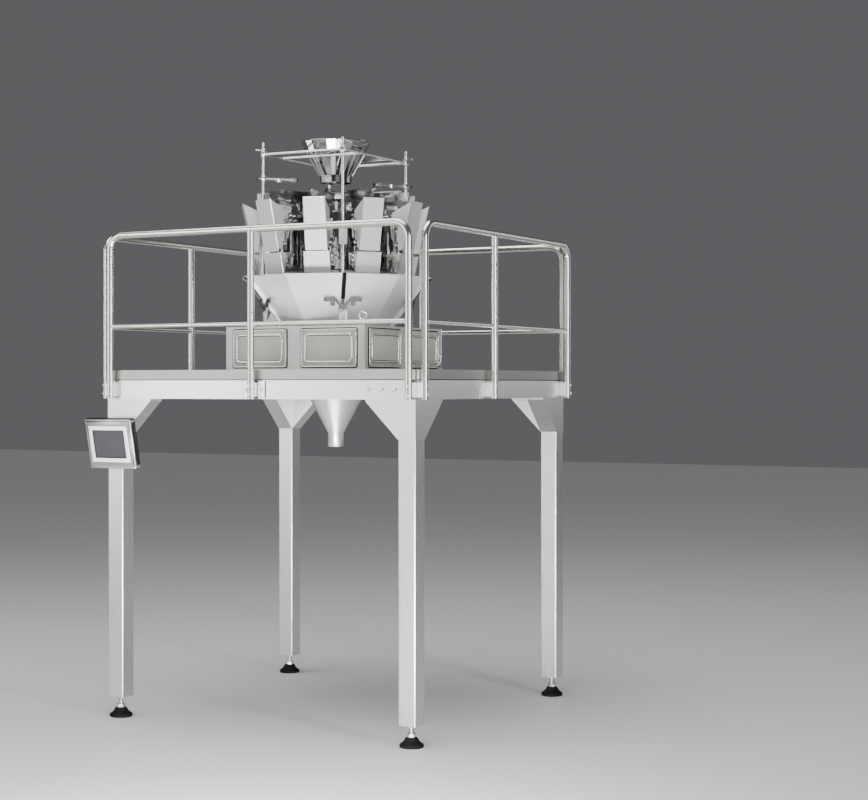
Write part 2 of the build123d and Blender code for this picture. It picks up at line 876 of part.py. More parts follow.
def hanger(back_top, top, back_bottom, outlet, level):
    """Return the bar that carries a hopper's sloping back from the front of its drive box."""
    slope = (back_bottom - back_top) / (top - outlet)
    near = back_top + (top - level - hanger_height) * slope - seat_gap
    far = back_top + (top - level) * slope - seat_gap
    return radial_plate(
        (
            (drive_front_radius, level),
            (far, level),
            (near, level + hanger_height),
            (drive_front_radius, level + hanger_height),
        ),
        hanger_width,
    )


# Feed hoppers above, weigh hoppers below
feed_top = front_top - feed_back_drop
feed_hopper = hopper(
    feed_width, feed_bottom, feed_top, feed_back_top_radius, feed_back_bottom_radius, front_top
)
write_piece(placed_round(feed_hopper, head_azimuths), "feed_hoppers")
feed_gate = gate(feed_width, feed_bottom, feed_back_bottom_radius)
write_piece(placed_round(feed_gate, head_azimuths), "feed_gates")

weigh_top = feed_bottom - row_gap
weigh_hopper = hopper(
    weigh_width, weigh_bottom, weigh_top, weigh_back_top_radius, weigh_back_bottom_radius, weigh_top
)
write_piece(placed_round(weigh_hopper, head_azimuths), "weigh_hoppers")
weigh_gate = gate(weigh_width, weigh_bottom, weigh_back_bottom_radius)
write_piece(placed_round(weigh_gate, head_azimuths), "weigh_gates")

with BuildPart() as hangers:
    add(hanger(
        feed_back_top_radius, feed_top, feed_back_bottom_radius, feed_bottom + lip_drop, feed_hanger_level
    ))
    add(hanger(
        weigh_back_top_radius, weigh_top, weigh_back_bottom_radius, weigh_bottom + lip_drop, weigh_hanger_level
    ))
write_piece(placed_round(hangers.part, head_azimuths), "hopper_hangers")

def levers(width, pivot, roller, knee):
    """Return the lever on each side of a hopper, with its pivot boss and its roller."""
    inner_face = width / 2 + lever_gap
    outer_face = inner_face + lever_thickness
    with BuildPart() as pair:
        for side in (-1, 1):
            with BuildSketch(Plane.XZ.offset(side * (inner_face + outer_face) / 2)):
                for corner in (pivot, roller, knee):
                    with Locations(corner):
                        Circle(lever_radius)
                make_hull()
            extrude(amount=lever_thickness / 2, both=True)
            add(hexagon_bar(
                (pivot[0], side * (width / 2 - hopper_wall), pivot[1]),
                (pivot[0], side * (outer_face + lever_boss_length), pivot[1]),
                lever_boss_radius,
            ))
            add(round_bar(
                (roller[0], side * (inner_face - roller_width), roller[1]),
                (roller[0], side * inner_face, roller[1]),
                lever_radius,
            ))
    return pair.part


def links(width, knee, ear_pin):
    """Return the link on each side of a hopper, from its lever's knee to the pin in the gate's ear."""
    ear_face = width / 2 - hopper_wall + seat_gap + gate_thickness
    inner_face = width / 2 + lever_gap + lever_thickness
    with BuildPart() as pair:
        for side in (-1, 1):
            with BuildSketch(Plane.XZ.offset(side * (inner_face + link_thickness / 2))):
                for corner in (knee, ear_pin):
                    with Locations(corner):
                        Circle(link_radius)
                make_hull()
            extrude(amount=link_thickness / 2, both=True)
            add(hexagon_bar(
                (ear_pin[0], side * ear_face, ear_pin[1]),
                (ear_pin[0], side * inner_face, ear_pin[1]),
                ear_pin_radius,
            ))
    return pair.part


def gate_points(bottom, back_top, back_bottom, pivot_rise, knee_drop):
    """Return the (radius, level) places of a gate's lever pivot, roller, knee and ear pin."""
    flap_top = bottom + lip_drop - seat_gap
    pivot = (back_bottom + lever_pivot_in, flap_top + pivot_rise)
    roller = (back_top - roller_out, flap_top + pivot_rise + roller_rise)
    knee = (back_bottom + knee_in, flap_top + pivot_rise - knee_drop)
    ear_pin = (back_bottom + gate_ear_width / 2, flap_top + gate_ear_height - ear_pin_drop)
    return pivot, roller, knee, ear_pin


feed_pivot, feed_roller, feed_knee, feed_ear_pin = gate_points(
    feed_bottom, feed_back_top_radius, feed_back_bottom_radius, feed_pivot_rise, feed_knee_drop
)
weigh_pivot, weigh_roller, weigh_knee, weigh_ear_pin = gate_points(
    weigh_bottom, weigh_back_top_radius, weigh_back_bottom_radius, weigh_pivot_rise, weigh_knee_drop
)
with BuildPart() as gate_levers:
    add(levers(feed_width, feed_pivot, feed_roller, feed_knee))
    add(levers(weigh_width, weigh_pivot, weigh_roller, weigh_knee))
write_piece(placed_round(gate_levers.part, head_azimuths), "gate_levers")

with BuildPart() as gate_links:
    add(links(feed_width, feed_knee, feed_ear_pin))
    add(links(weigh_width, weigh_knee, weigh_ear_pin))
write_piece(placed_round(gate_links.part, head_azimuths), "gate_links")

# Four rods on brackets from the drum
with BuildPart() as rod_bracket:
    with BuildSketch(Plane.XY.offset(drum_bottom + rod_bracket_lift)):
        with Locations(((drum_radius + rod_circle) / 2, 0)):
            Rectangle(rod_circle - drum_radius + 2 * rod_grip, rod_bracket_width)
        with Locations((rod_circle, 0)):
            Circle(rod_radius + seat_gap, mode=Mode.SUBTRACT)
        Circle(drum_radius + seat_gap, mode=Mode.SUBTRACT)
    extrude(amount=rod_bracket_height)
write_piece(placed_round(rod_bracket.part, rod_azimuths), "rod_brackets")

rod = round_bar((rod_circle, 0, rod_bottom), (rod_circle, 0, rod_top), rod_radius)
write_piece(placed_round(rod, rod_azimuths), "cone_rods")

# Clamps on the rods and the bars between them
rod_x = rod_circle * sin(radians(rod_azimuths[0]))
rod_y = rod_circle * cos(radians(rod_azimuths[0]))
with BuildPart() as rod_clamps:
    with BuildSketch(weigher.offset(bar_level - clamp_height / 2)):
        with GridLocations(2 * rod_x, 2 * rod_y, 2, 2):
            Rectangle(clamp_side, clamp_side)
            Circle(rod_radius + seat_gap, mode=Mode.SUBTRACT)
    extrude(amount=clamp_height)
write_piece(rod_clamps.part, "rod_clamps")

bar_x = rod_x - clamp_side / 2
bar_y = rod_y - clamp_side / 2
with BuildPart() as frame_bars:
    for side in (-1, 1):
        add(round_bar((-bar_x, side * rod_y, bar_level), (bar_x, side * rod_y, bar_level), bar_radius))
        add(round_bar((side * rod_x, -bar_y, bar_level), (side * rod_x, bar_y, bar_level), bar_radius))
write_piece(placed_round(frame_bars.part, (-front_angle,)), "frame_bars")

# Infeed cone with a turned-out rim and a bead above its throat, and the two cradle bars that hold it
infeed_band_level = infeed_top - infeed_band_height
infeed_throat_level = infeed_band_level - infeed_cone_height
infeed_outline = (
    (infeed_top_radius - infeed_wall, infeed_top),
    (infeed_band_top_radius - infeed_wall, infeed_band_level),
    (infeed_throat_radius - infeed_wall, infeed_throat_level),
    (infeed_throat_radius - infeed_wall, infeed_throat_level - infeed_throat_length),
)
with BuildPart() as infeed_cone:
    add(shell_of_revolution(infeed_outline, infeed_wall))
    with BuildSketch(Plane.XY.offset(infeed_top)):
        Circle(infeed_top_radius + infeed_rim)
        Circle(infeed_top_radius - infeed_wall, mode=Mode.SUBTRACT)
    extrude(amount=-infeed_rim_height)
    with BuildSketch(Plane.XY.offset(infeed_throat_level)):
        Circle(infeed_throat_radius + infeed_bead)
        Circle(infeed_throat_radius - infeed_wall, mode=Mode.SUBTRACT)
    extrude(amount=-infeed_bead_height)
write_piece(placed_round(infeed_cone.part, (0,)), "infeed_cone")

infeed_slope = (infeed_band_top_radius - infeed_throat_radius) / infeed_cone_height
infeed_radius_at_bars = infeed_band_top_radius - (infeed_band_level - bar_level) * infeed_slope
cradle_y = infeed_radius_at_bars + (bar_radius + seat_gap) * sqrt(1 + infeed_slope**2)
cradle_x = rod_x - bar_radius - seat_gap
with BuildPart() as cradle_bars:
    for side in (-1, 1):
        bar_side_y = side * cradle_y
        add(round_bar((-cradle_x, bar_side_y, bar_level), (cradle_x, bar_side_y, bar_level), bar_radius))
write_piece(placed_round(cradle_bars.part, (-front_angle,)), "cradle_bars")

# Level sensors, each on an arm clamped to a rod
with BuildPart() as sensor_arm:
    with BuildSketch(Plane.XY.offset(sensor_level - sensor_clamp_height / 2)):
        with Locations((rod_circle, 0)):
            Rectangle(sensor_clamp_side, sensor_clamp_side)
            Circle(rod_radius + seat_gap, mode=Mode.SUBTRACT)
    extrude(amount=sensor_clamp_height)
    arm_start = rod_circle - sensor_clamp_side / 2
    arm_tip = arm_start - sensor_arm_length
    add(round_bar((arm_start, 0, sensor_level), (arm_tip, 0, sensor_level), sensor_arm_radius))
write_piece(placed_round(sensor_arm.part, sensor_azimuths), "sensor_arms")

head_start = arm_tip
head_end = head_start - sensor_head_length
sensor_head = round_bar((head_start, 0, sensor_level), (head_end, 0, sensor_level), sensor_head_radius)
write_piece(placed_round(sensor_head, sensor_azimuths), "sensor_heads")

# Operator panel: its plane leans out at the top and faces the operator
leg_face = frame_shift - platform_depth / 2
panel_x = panel_offset - leg_x
pivot = Vector(panel_x, leg_face - panel_pivot_out, panel_pivot_level)
lean = radians(panel_lean)
panel_plane = Plane(origin=pivot, x_dir=(1, 0, 0), z_dir=(0, -cos(lean), -sin(lean)))

with BuildPart() as panel_housing:
    with BuildSketch(panel_plane.offset(panel_back_out)):
        RectangleRounded(panel_width, panel_height, panel_corner)
    extrude(amount=panel_depth)
write_piece(panel_housing.part, "panel_housing")

with BuildPart() as panel_bezel:
    with BuildSketch(panel_plane.offset(panel_back_out + panel_depth)):
        RectangleRounded(panel_width - 2 * bezel_margin, panel_height - 2 * bezel_margin, panel_corner)
        Rectangle(screen_width, screen_height, mode=Mode.SUBTRACT)
    extrude(amount=bezel_thickness)
write_piece(panel_bezel.part, "panel_bezel")

with BuildPart() as panel_screen:
    with BuildSketch(panel_plane.offset(panel_back_out + panel_depth)):
        Rectangle(screen_width, screen_height)
    extrude(amount=screen_thickness)
write_piece(panel_screen.part, "panel_screen")

pivot_across = Plane(origin=pivot, x_dir=(0, -1, 0), z_dir=(-1, 0, 0))
with BuildPart() as panel_lug:
    with BuildSketch(panel_plane):
        Rectangle(lug_width, 2 * lug_radius)
    extrude(amount=panel_back_out)
    with BuildSketch(pivot_across):
        Circle(lug_radius)
    extrude(amount=lug_width / 2, both=True)
    with BuildSketch(pivot_across):
        Circle(pin_radius + pin_clearance)
    extrude(amount=lug_width, both=True, mode=Mode.SUBTRACT)
write_piece(panel_lug.part, "panel_lug")

# Bracket on the leg: a mounting plate with two ears that hold the pivot pin
ear_inner = lug_width / 2 + ear_gap
ear_outer = ear_inner + ear_thickness
plate_left = -panel_offset - leg_side / 2 + leg_corner
plate_top_face = Plane(origin=(panel_x, leg_face, panel_pivot_level), x_dir=(1, 0, 0), z_dir=(0, -1, 0))
with BuildPart() as panel_bracket:
    with BuildSketch(plate_top_face):
        with Locations(((plate_left + ear_outer) / 2, 0)):
            Rectangle(ear_outer - plate_left, mount_plate_height)
    extrude(amount=mount_plate_thickness)
    for side in (-1, 1):
        with BuildSketch(pivot_across.offset(side * (ear_inner + ear_thickness / 2))):
            with BuildLine():
                Polyline(
                    (-panel_pivot_out, -mount_plate_height / 2),
                    (-panel_pivot_out, mount_plate_height / 2),
                    (0, ear_radius),
                    (0, -ear_radius),
                    close=True,
                )
            make_face()
            Circle(ear_radius)
        extrude(amount=ear_thickness / 2, both=True)
    with BuildSketch(pivot_across):
        Circle(pin_radius)
    extrude(amount=ear_outer, both=True)
write_piece(panel_bracket.part, "panel_bracket")

with BuildPart() as panel_knob:
    with BuildSketch(pivot_across.offset(-ear_outer)):
        Circle(knob_radius - knob_lobe_radius)
        with PolarLocations(knob_radius - knob_lobe_radius, knob_lobes):
            Circle(knob_lobe_radius)
    extrude(amount=-knob_thickness)
write_piece(panel_knob.part, "panel_knob")
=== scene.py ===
import logging
import math
from dataclasses import dataclass
from enum import Enum

import bpy
from mathutils import Matrix, Vector


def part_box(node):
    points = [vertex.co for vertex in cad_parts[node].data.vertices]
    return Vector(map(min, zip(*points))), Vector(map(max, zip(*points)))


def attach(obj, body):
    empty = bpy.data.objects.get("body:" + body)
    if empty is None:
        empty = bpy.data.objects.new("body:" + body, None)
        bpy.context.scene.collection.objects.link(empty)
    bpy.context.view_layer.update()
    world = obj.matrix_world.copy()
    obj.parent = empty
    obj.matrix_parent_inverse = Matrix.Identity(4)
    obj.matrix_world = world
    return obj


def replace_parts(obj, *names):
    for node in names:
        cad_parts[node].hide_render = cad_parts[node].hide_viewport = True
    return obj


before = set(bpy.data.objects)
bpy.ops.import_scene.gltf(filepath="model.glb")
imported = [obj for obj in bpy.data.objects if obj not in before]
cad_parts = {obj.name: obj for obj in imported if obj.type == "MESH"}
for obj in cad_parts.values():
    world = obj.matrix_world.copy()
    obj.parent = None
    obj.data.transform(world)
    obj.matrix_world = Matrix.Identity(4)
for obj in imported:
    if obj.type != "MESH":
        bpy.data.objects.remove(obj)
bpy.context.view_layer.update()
LOG = logging.getLogger("weigher")

MM = 0.001
MACHINE = "machine"
PANEL = "operator_panel"
WELD_DISTANCE = 0.00001
WIRE_CREASE = 60.0  # degrees: only sharper edges of a thin wire or frame count as creased
SUNK = 0.001  # how deep a small piece sits in the surface that carries it
HEXAGON, THIN, SMALL, WIRE, ROUND, FINE = 6, 8, 10, 12, 20, 28  # sides of round forms, by how much they show
FORWARD, RIGHT, UP = Vector((0, -1, 0)), Vector((1, 0, 0)), Vector((0, 0, 1))

Piece = bpy.types.Object
Socket = bpy.types.NodeSocket
Colour = tuple[float, float, float, float]
Size = tuple[float, float, float]
Pair = tuple[float, float]
Rings = list[Pair] | tuple[Pair, ...]


class Run(Enum):
    """Axis along which the lines of a brushed surface run."""

    X = 0
    Y = 1
    Z = 2


class Hex(Enum):
    """Colours of the machine's finishes, as sRGB hex values."""

    FRAME_STEEL = "D2D2D3"
    DECK_STEEL = "A09E9B"
    BASE_STEEL = "D0CECA"
    DOOR_STEEL = "D0D1C6"
    CHUTE_STEEL = "F8F8F9"
    HOPPER_STEEL = "C0C3C3"
    RAIL_STEEL = "E4E2DC"
    MIRROR_STEEL = "DADADB"
    # darker steel; on the plate legs deep under the chutes it is painted shade
    DARK_STEEL = "8E8E90"
    DRIVE_STEEL = "A2A2A4"
    BOLT_STEEL = "CFCFD0"
    # black of rubber, also painted shadow on the strips in gaps
    RUBBER_AND_SHADE_BLACK = "070708"
    BLACK_PLASTIC = "1C1D1F"
    BEZEL = "E6EAF2"
    SCREEN = "3A3A3D"
    FLOOR = "D9D8D5"
    WORLD = "6E6E71"


def linear(colour: Hex) -> Colour:
    """Turns an sRGB hex colour into linear light.

    Args:
        colour: the named colour.

    Returns:
        Red, green, blue and alpha in linear light.
    """
    channels = []
    for start in (0, 2, 4):
        value = int(colour.value[start:start + 2], 16) / 255
        channels.append(value / 12.92 if value <= 0.04045 else ((value + 0.055) / 1.055) ** 2.4)
    return (*channels, 1.0)


def dimmed(colour: Colour, share: float, lift: float = 0.0) -> Colour:
    """Returns a colour at a share of its brightness, with a little added to each channel."""
    return (*(min(1.0, channel * share + lift) for channel in colour[:3]), 1.0)


def add_node(tree: bpy.types.NodeTree, kind: str, inputs: dict | None = None, **settings) -> bpy.types.Node:
    """Adds a shader node with its settings, values and links.

    Args:
        tree: the material's node tree.
        kind: Blender's name of the node type.
        inputs: input name or number to a value or to an output socket that feeds it.
        settings: properties of the node itself.

    Returns:
        The new node.
    """
    node = tree.nodes.new(kind)
    for name, value in settings.items():
        setattr(node, name, value)
    for name, value in (inputs or {}).items():
        if isinstance(value, Socket):
            tree.links.new(value, node.inputs[name])
        else:
            node.inputs[name].default_value = value
    return node


@dataclass
class Shading:
    """A material's shader with the few node patterns that all finishes use."""

    material: bpy.types.Material
    shader: bpy.types.Node
    place: Socket

    @property
    def tree(self) -> bpy.types.NodeTree:
        """The material's node tree."""
        return self.material.node_tree

    def noise(self, size: float, detail: float, roughness: float = 0.5, place: Socket | None = None) -> Socket:
        """Adds noise of a grain size in metres on the object's coordinates, or on others, and returns its value."""
        return add_node(self.tree, "ShaderNodeTexNoise",
                        {"Vector": place or self.place, "Scale": 1 / size, "Detail": detail,
                         "Roughness": roughness}).outputs["Fac"]

    def remap(self, value: Socket, source: Pair = (0.0, 1.0),
              target: Pair = (0.0, 1.0)) -> Socket:
        """Adds a node that maps one range onto another, with its ends clamped, and returns its result."""
        return add_node(self.tree, "ShaderNodeMapRange",
                        {"Value": value, "From Min": source[0], "From Max": source[1],
                         "To Min": target[0], "To Max": target[1]}).outputs[0]

    def mix(self, amount: Socket, first: Colour | Socket, second: Colour | Socket) -> Socket:
        """Adds a node that mixes two colours by an amount and returns the mixture."""
        return add_node(self.tree, "ShaderNodeMix", {"Factor": amount, "A": first, "B": second},
                        data_type="RGBA").outputs["Result"]

    def feed(self, name: str, value: Socket) -> None:
        """Links a value to one of the shader's own sockets."""
        self.tree.links.new(value, self.shader.inputs[name])

    def emboss(self, height: Socket, strength: float, depth: float) -> None:
        """Adds a bump of a depth in metres to the shader's normal."""
        bump = add_node(self.tree, "ShaderNodeBump", {"Height": height, "Strength": strength, "Distance": depth})
        self.feed("Normal", bump.outputs[0])


def new_material(name: str, **shader_values) -> Shading:
    """Starts a material with its shader and its object coordinates.

    Args:
        name: the material's name.
        shader_values: values for the shader's own sockets, with underscores for spaces.

    Returns:
        The material with its shader node and its object coordinate socket.
    """
    material = bpy.data.materials.new(name)
    material.use_nodes = True
    shader = material.node_tree.nodes["Principled BSDF"]
    for key, value in shader_values.items():
        shader.inputs[key.replace("_", " ")].default_value = value
    coordinates = add_node(material.node_tree, "ShaderNodeTexCoord")
    return Shading(material, shader, coordinates.outputs["Object"])


@dataclass(frozen=True)
class BrushedSteel:
    """Stainless steel drawn under an abrasive belt: fine parallel lines and a soft sheen across them."""

    name: str
    colour: Hex
    run: Run
    roughness: float = 0.3
    line_mm: float = 1.6
    line_length_mm: float = 140.0
    contrast: float = 0.09
    cloud_mm: float = 420.0
    metal: float = 1.0
    cloud_share: float = 0.6
    gloss_spread: Pair = (-0.06, 0.08)
    line_bump: float = 0.12
    line_depth: float = 0.0004

    def build(self) -> bpy.types.Material:
        """Makes the material; the lines are drawn a little coarser than the real 0.2 mm so that they show."""
        shading = new_material(self.name, Metallic=self.metal)
        scale = [1 / (self.line_mm * MM)] * 3
        scale[self.run.value] = 1 / (self.line_length_mm * MM)
        stretched = add_node(shading.tree, "ShaderNodeMapping", {"Vector": shading.place, "Scale": scale})
        lines = shading.noise(1.0, 3.0, 0.6, stretched.outputs[0])
        clouds = shading.noise(self.cloud_mm * MM, 2.0)
        base = linear(self.colour)
        darker = dimmed(base, 1 - self.contrast)
        cloudy = shading.remap(clouds, (0.35, 0.7), (0.0, self.cloud_share))
        shading.feed("Base Color", shading.mix(cloudy, shading.mix(lines, darker, base), darker))
        low, high = self.gloss_spread
        shading.feed("Roughness", shading.remap(lines, target=(self.roughness + low, self.roughness + high)))
        shading.emboss(lines, self.line_bump, self.line_depth)
        return shading.material


@dataclass(frozen=True)
class PolishedSteel:
    """Stainless steel buffed to a mirror: sharp reflections, slightly wavy, with faint wiping marks."""

    name: str
    colour: Hex
    roughness: float = 0.12
    wave_mm: float = 90.0
    wave_depth: float = 0.35
    smudge_mm: float = 26.0
    dull_share: float = 0.86
    gloss_shares: Pair = (0.8, 1.6)
    bump_depth: float = 0.002

    def build(self) -> bpy.types.Material:
        """Makes the material; its waves are those of hand-worked sheet."""
        shading = new_material(self.name, Metallic=1.0)
        smudges = shading.noise(self.smudge_mm * MM, 5.0, 0.62)
        base = linear(self.colour)
        amount = shading.remap(smudges, (0.42, 0.68))
        shading.feed("Base Color", shading.mix(amount, base, dimmed(base, self.dull_share)))
        glossy, dull = (self.roughness * share for share in self.gloss_shares)
        shading.feed("Roughness", shading.remap(smudges, (0.35, 0.7), (glossy, dull)))
        shading.emboss(shading.noise(self.wave_mm * MM, 1.0), self.wave_depth, self.bump_depth)
        return shading.material


@dataclass(frozen=True)
class MouldedPlastic:
    """Injection moulded plastic or rubber: a matt skin from a spark-eroded mould."""

    name: str
    colour: Hex
    roughness: float = 0.5
    grain_mm: float = 0.9
    depth: float = 0.15
    coat: float = 0.0
    shine: float = 0.5
    coat_roughness: float = 0.08
    dust_mm: float = 35.0
    dust_share: float = 0.5
    pale_share: float = 1.25
    pale_lift: float = 0.004
    gloss_spread: Pair = (-0.08, 0.1)
    bump_depth: float = 0.0005

    def build(self) -> bpy.types.Material:
        """Makes the material; the grain is drawn coarser than the real 0.1 mm so that it shows."""
        shading = new_material(self.name, Coat_Weight=self.coat, Coat_Roughness=self.coat_roughness,
                               Specular_IOR_Level=self.shine)
        grain = shading.noise(self.grain_mm * MM, 2.0)
        dust = shading.noise(self.dust_mm * MM, 4.0)
        base = linear(self.colour)
        amount = shading.remap(dust, (0.45, 0.75), (0.0, self.dust_share))
        shading.feed("Base Color", shading.mix(amount, base, dimmed(base, self.pale_share, self.pale_lift)))
        low, high = self.gloss_spread
        shading.feed("Roughness", shading.remap(dust, target=(self.roughness + low, self.roughness + high)))
        shading.emboss(grain, self.depth, self.bump_depth)
        return shading.material


FINISHES = {
    # square tube drawn through a die and belt ground along its length: upright lines, a soft bright face
    "legs": BrushedSteel("brushed_leg_tube", Hex.FRAME_STEEL, Run.Z, 0.27, contrast=0.06, metal=0.96),
    # folded sheet ground crosswise: level lines that catch less light than the legs
    "haunches": BrushedSteel("brushed_haunch_sheet", Hex.FRAME_STEEL, Run.X, 0.28, line_mm=1.1, contrast=0.04,
                             metal=0.96),
    # box beams ground along their length: a long highlight that fades towards both ends
    "beam": BrushedSteel("brushed_beam", Hex.FRAME_STEEL, Run.X, 0.22, metal=0.96),
    "side_beam": BrushedSteel("brushed_side_beam", Hex.FRAME_STEEL, Run.Y, 0.22, metal=0.96),
    # mill finished deck sheet: greyer and duller than the ground beams
    "deck": BrushedSteel("brushed_deck_sheet", Hex.DECK_STEEL, Run.X, 0.34, metal=0.95),
    # hand brushed housing sheet: cloudy, matt, warm grey
    "base": BrushedSteel("brushed_base_sheet", Hex.BASE_STEEL, Run.Z, 0.42, contrast=0.16, metal=0.5),
    # fine satin sheet: nearly white, soft shades from facet to facet
    "chute": BrushedSteel("satin_chute_sheet", Hex.CHUTE_STEEL, Run.Z, 0.22, line_mm=1.0, contrast=0.03, metal=0.42),
    # laser cut bracket plate, brushed: a flat bright face beside mirror tubes
    "plate": BrushedSteel("bright_bracket_plate", Hex.RAIL_STEEL, Run.Z, 0.26, contrast=0.04, metal=0.6),
    # plate legs deep under the chutes: dull, in a darker steel colour as painted shade, so that they read as dark
    # uprights
    "inner": BrushedSteel("shaded_plate_leg", Hex.DARK_STEEL, Run.Z, 0.35, contrast=0.1),
    # rolled satin cone: an even sheen with a soft upright highlight
    "funnel": BrushedSteel("satin_funnel_sheet", Hex.FRAME_STEEL, Run.Z, 0.28, contrast=0.05, metal=0.85),
    # bead blasted hopper sheet: calm pale fronts without reflections
    "hopper": BrushedSteel("satin_hopper_sheet", Hex.HOPPER_STEEL, Run.Z, 0.42, line_mm=1.1, contrast=0.05,
                           metal=0.62),
    # buffed tube: white streaks between dark ones along every rail
    "rail": PolishedSteel("polished_rail_tube", Hex.RAIL_STEEL, 0.16, smudge_mm=18.0, wave_depth=0.1),
    # buffed sheet: a mirror, slightly wavy from hand work
    "mirror": PolishedSteel("mirror_steel", Hex.MIRROR_STEEL, 0.1),
    # deep drawn housings buffed by hand: broken bright and dark patches
    "dark_mirror": PolishedSteel("mirror_drive_housing", Hex.DRIVE_STEEL, 0.05, wave_mm=32.0, wave_depth=0.9),
    # cast latch arms, buffed on their faces only: a middle grey that stands out from the pale chutes
    "latch": PolishedSteel("buffed_latch_arm", Hex.DARK_STEEL, 0.2, wave_mm=25.0, wave_depth=0.6),
    # folded and buffed cone: each facet mirrors another part of the room
    "spun": PolishedSteel("mirror_folded_cone", Hex.DRIVE_STEEL, 0.07, wave_mm=150.0, wave_depth=0.12,
                          smudge_mm=60.0),
    # turned steel: small sharp glints with a satin body
    "bolt": PolishedSteel("turned_bolt_steel", Hex.BOLT_STEEL, 0.22, smudge_mm=8.0),
    # rolled or pressed edge, buffed: a thin white line
    "bright": PolishedSteel("bright_pressed_edge", Hex.RAIL_STEEL, 0.14, smudge_mm=12.0, wave_depth=0.15),
    # weld bead ground back: a rippled, duller line
    "weld": PolishedSteel("ground_weld_seam", Hex.BOLT_STEEL, 0.3, wave_mm=3.0, wave_depth=0.5, smudge_mm=6.0),
    # door sheet brushed very fine: a flat greenish grey field without glare
    "door_panel": BrushedSteel("brushed_door_panel", Hex.DOOR_STEEL, Run.Z, 0.5, contrast=0.05, metal=0.25),
    # panel case brushed across: a fine bright frame round the screen
    "panel_steel": BrushedSteel("brushed_panel_case", Hex.FRAME_STEEL, Run.X, 0.24, line_mm=1.0, contrast=0.05),
    # moulded rubber: matt black, a little dusty; the same black paints the shadow on the strips in the gaps of deck,
    # beams, doors and chutes
    "rubber_and_shade": MouldedPlastic("black_rubber_and_painted_shade", Hex.RUBBER_AND_SHADE_BLACK, 0.7, depth=0.3, shine=0.15),
    # moulded polyamide: black with a faint sheen
    "black": MouldedPlastic("black_knob_plastic", Hex.BLACK_PLASTIC, 0.42),
    # moulded screen frame: cool white and matt
    "bezel": MouldedPlastic("pale_bezel_plastic", Hex.BEZEL, 0.4),
    # extruded seal round the case: plain black
    "panel_top": MouldedPlastic("black_panel_seal", Hex.RUBBER_AND_SHADE_BLACK, 0.35, depth=0.05),
    # touch screen that is off: an even grey with a thin gloss
    "screen": MouldedPlastic("grey_touch_screen", Hex.SCREEN, 0.6, depth=0.02, coat=0.03, shine=0.35),
}
MADE: dict[str, bpy.types.Material] = {}


def finish(name: str) -> bpy.types.Material:
    """Returns a finish's material, made the first time it is asked for."""
    if name not in MADE:
        MADE[name] = FINISHES[name].build()
    return MADE[name]


# which CAD nodes wear each finish
CAD_NODES = {
    "legs": "legs panel_housing panel_lug panel_bracket",
    "haunches": "haunches",
    "beam": "beam_front_left beam_front_right beam_rear cross_beams deck_bearers",
    "side_beam": "beam_left beam_right",
    "deck": "deck_front deck_rear",
    "plate": "joint_covers rail_brackets",
    "rubber_and_shade": "foot_pads",
    "bolt": "foot_studs rod_clamps",
    "base": "base_box base_doors",
    "chute": "chute_segments",
    "latch": "latch_brackets",
    "inner": "drum_legs",
    "dark_mirror": "drum drive_boxes pan_drives",
    "mirror": "hopper_hangers feeder_pans cone_drive dispersion_cone feed_gates weigh_gates infeed_cone",
    "funnel": "discharge_funnel",
    "hopper": "feed_hoppers weigh_hoppers",
    "bright": "gate_levers gate_links",
    "rail": "rod_brackets cone_rods frame_bars cradle_bars sensor_arms rail_front rail_rear rail_left rail_right "
            "rail_posts rail_mid_bars",
    "black": "sensor_heads panel_knob",
    "bezel": "panel_bezel",
    "screen": "panel_screen",
}


def dress_cad() -> None:
    """Gives every CAD node its finish."""
    for finish_name, nodes in CAD_NODES.items():
        material = finish(finish_name)
        for node in nodes.split():
            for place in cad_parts[node].material_slots:
                place.material = material
            LOG.info("%s gets %s", node, material.name)


def deselect() -> None:
    """Leaves edit mode if need be and deselects every object."""
    if bpy.context.object and bpy.context.object.mode != "OBJECT":
        bpy.ops.object.mode_set(mode="OBJECT")
    bpy.ops.object.select_all(action="DESELECT")


def activate(piece: Piece) -> None:
    """Makes one piece the only selected object and the active one."""
    deselect()
    piece.select_set(True)
    bpy.context.view_layer.objects.active = piece


def edit(piece: Piece) -> None:
    """Enters edit mode on one piece with everything in it selected."""
    activate(piece)
    bpy.ops.object.mode_set(mode="EDIT")
    bpy.ops.mesh.select_all(action="SELECT")


def settle(piece: Piece) -> None:
    """Moves a piece's place into its mesh, so that the object sits at the origin."""
    activate(piece)
    bpy.ops.object.transform_apply(location=True, rotation=True, scale=True)


def smooth(piece: Piece, degrees: float = 35.0) -> None:
    """Shades a piece smooth where its faces meet at less than an angle."""
    activate(piece)
    bpy.ops.object.shade_smooth_by_angle(angle=math.radians(degrees))


def extrude(run: Size | Vector) -> None:
    """Extrudes what is selected in edit mode."""
    bpy.ops.mesh.extrude_region_move(TRANSFORM_OT_translate={"value": run})


def face_out(weld: bool = False) -> None:
    """Turns the faces of the piece in edit mode outward, with doubled points welded if asked, and leaves it."""
    bpy.ops.mesh.select_all(action="SELECT")
    if weld:
        bpy.ops.mesh.remove_doubles(threshold=WELD_DISTANCE)
    bpy.ops.mesh.normals_make_consistent(inside=False)
    deselect()


def seat(piece: Piece, name: str, finish_name: str, body: str = MACHINE) -> Piece:
    """Names a finished piece, dresses it and lets it ride on its body.

    Args:
        piece: the finished object.
        name: its name.
        finish_name: key of its finish.
        body: the CAD body it rides on.

    Returns:
        The piece.
    """
    settle(piece)
    piece.name = name
    piece.data.name = name
    piece.data.materials.clear()
    piece.data.materials.append(finish(finish_name))
    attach(piece, body)
    LOG.info("%s: %d faces on %s", name, len(piece.data.polygons), body)
    return piece


def merge(pieces: list[Piece]) -> Piece:
    """Joins pieces into the first one."""
    deselect()
    for piece in pieces:
        piece.select_set(True)
    bpy.context.view_layer.objects.active = pieces[0]
    bpy.ops.object.join()
    return pieces[0]


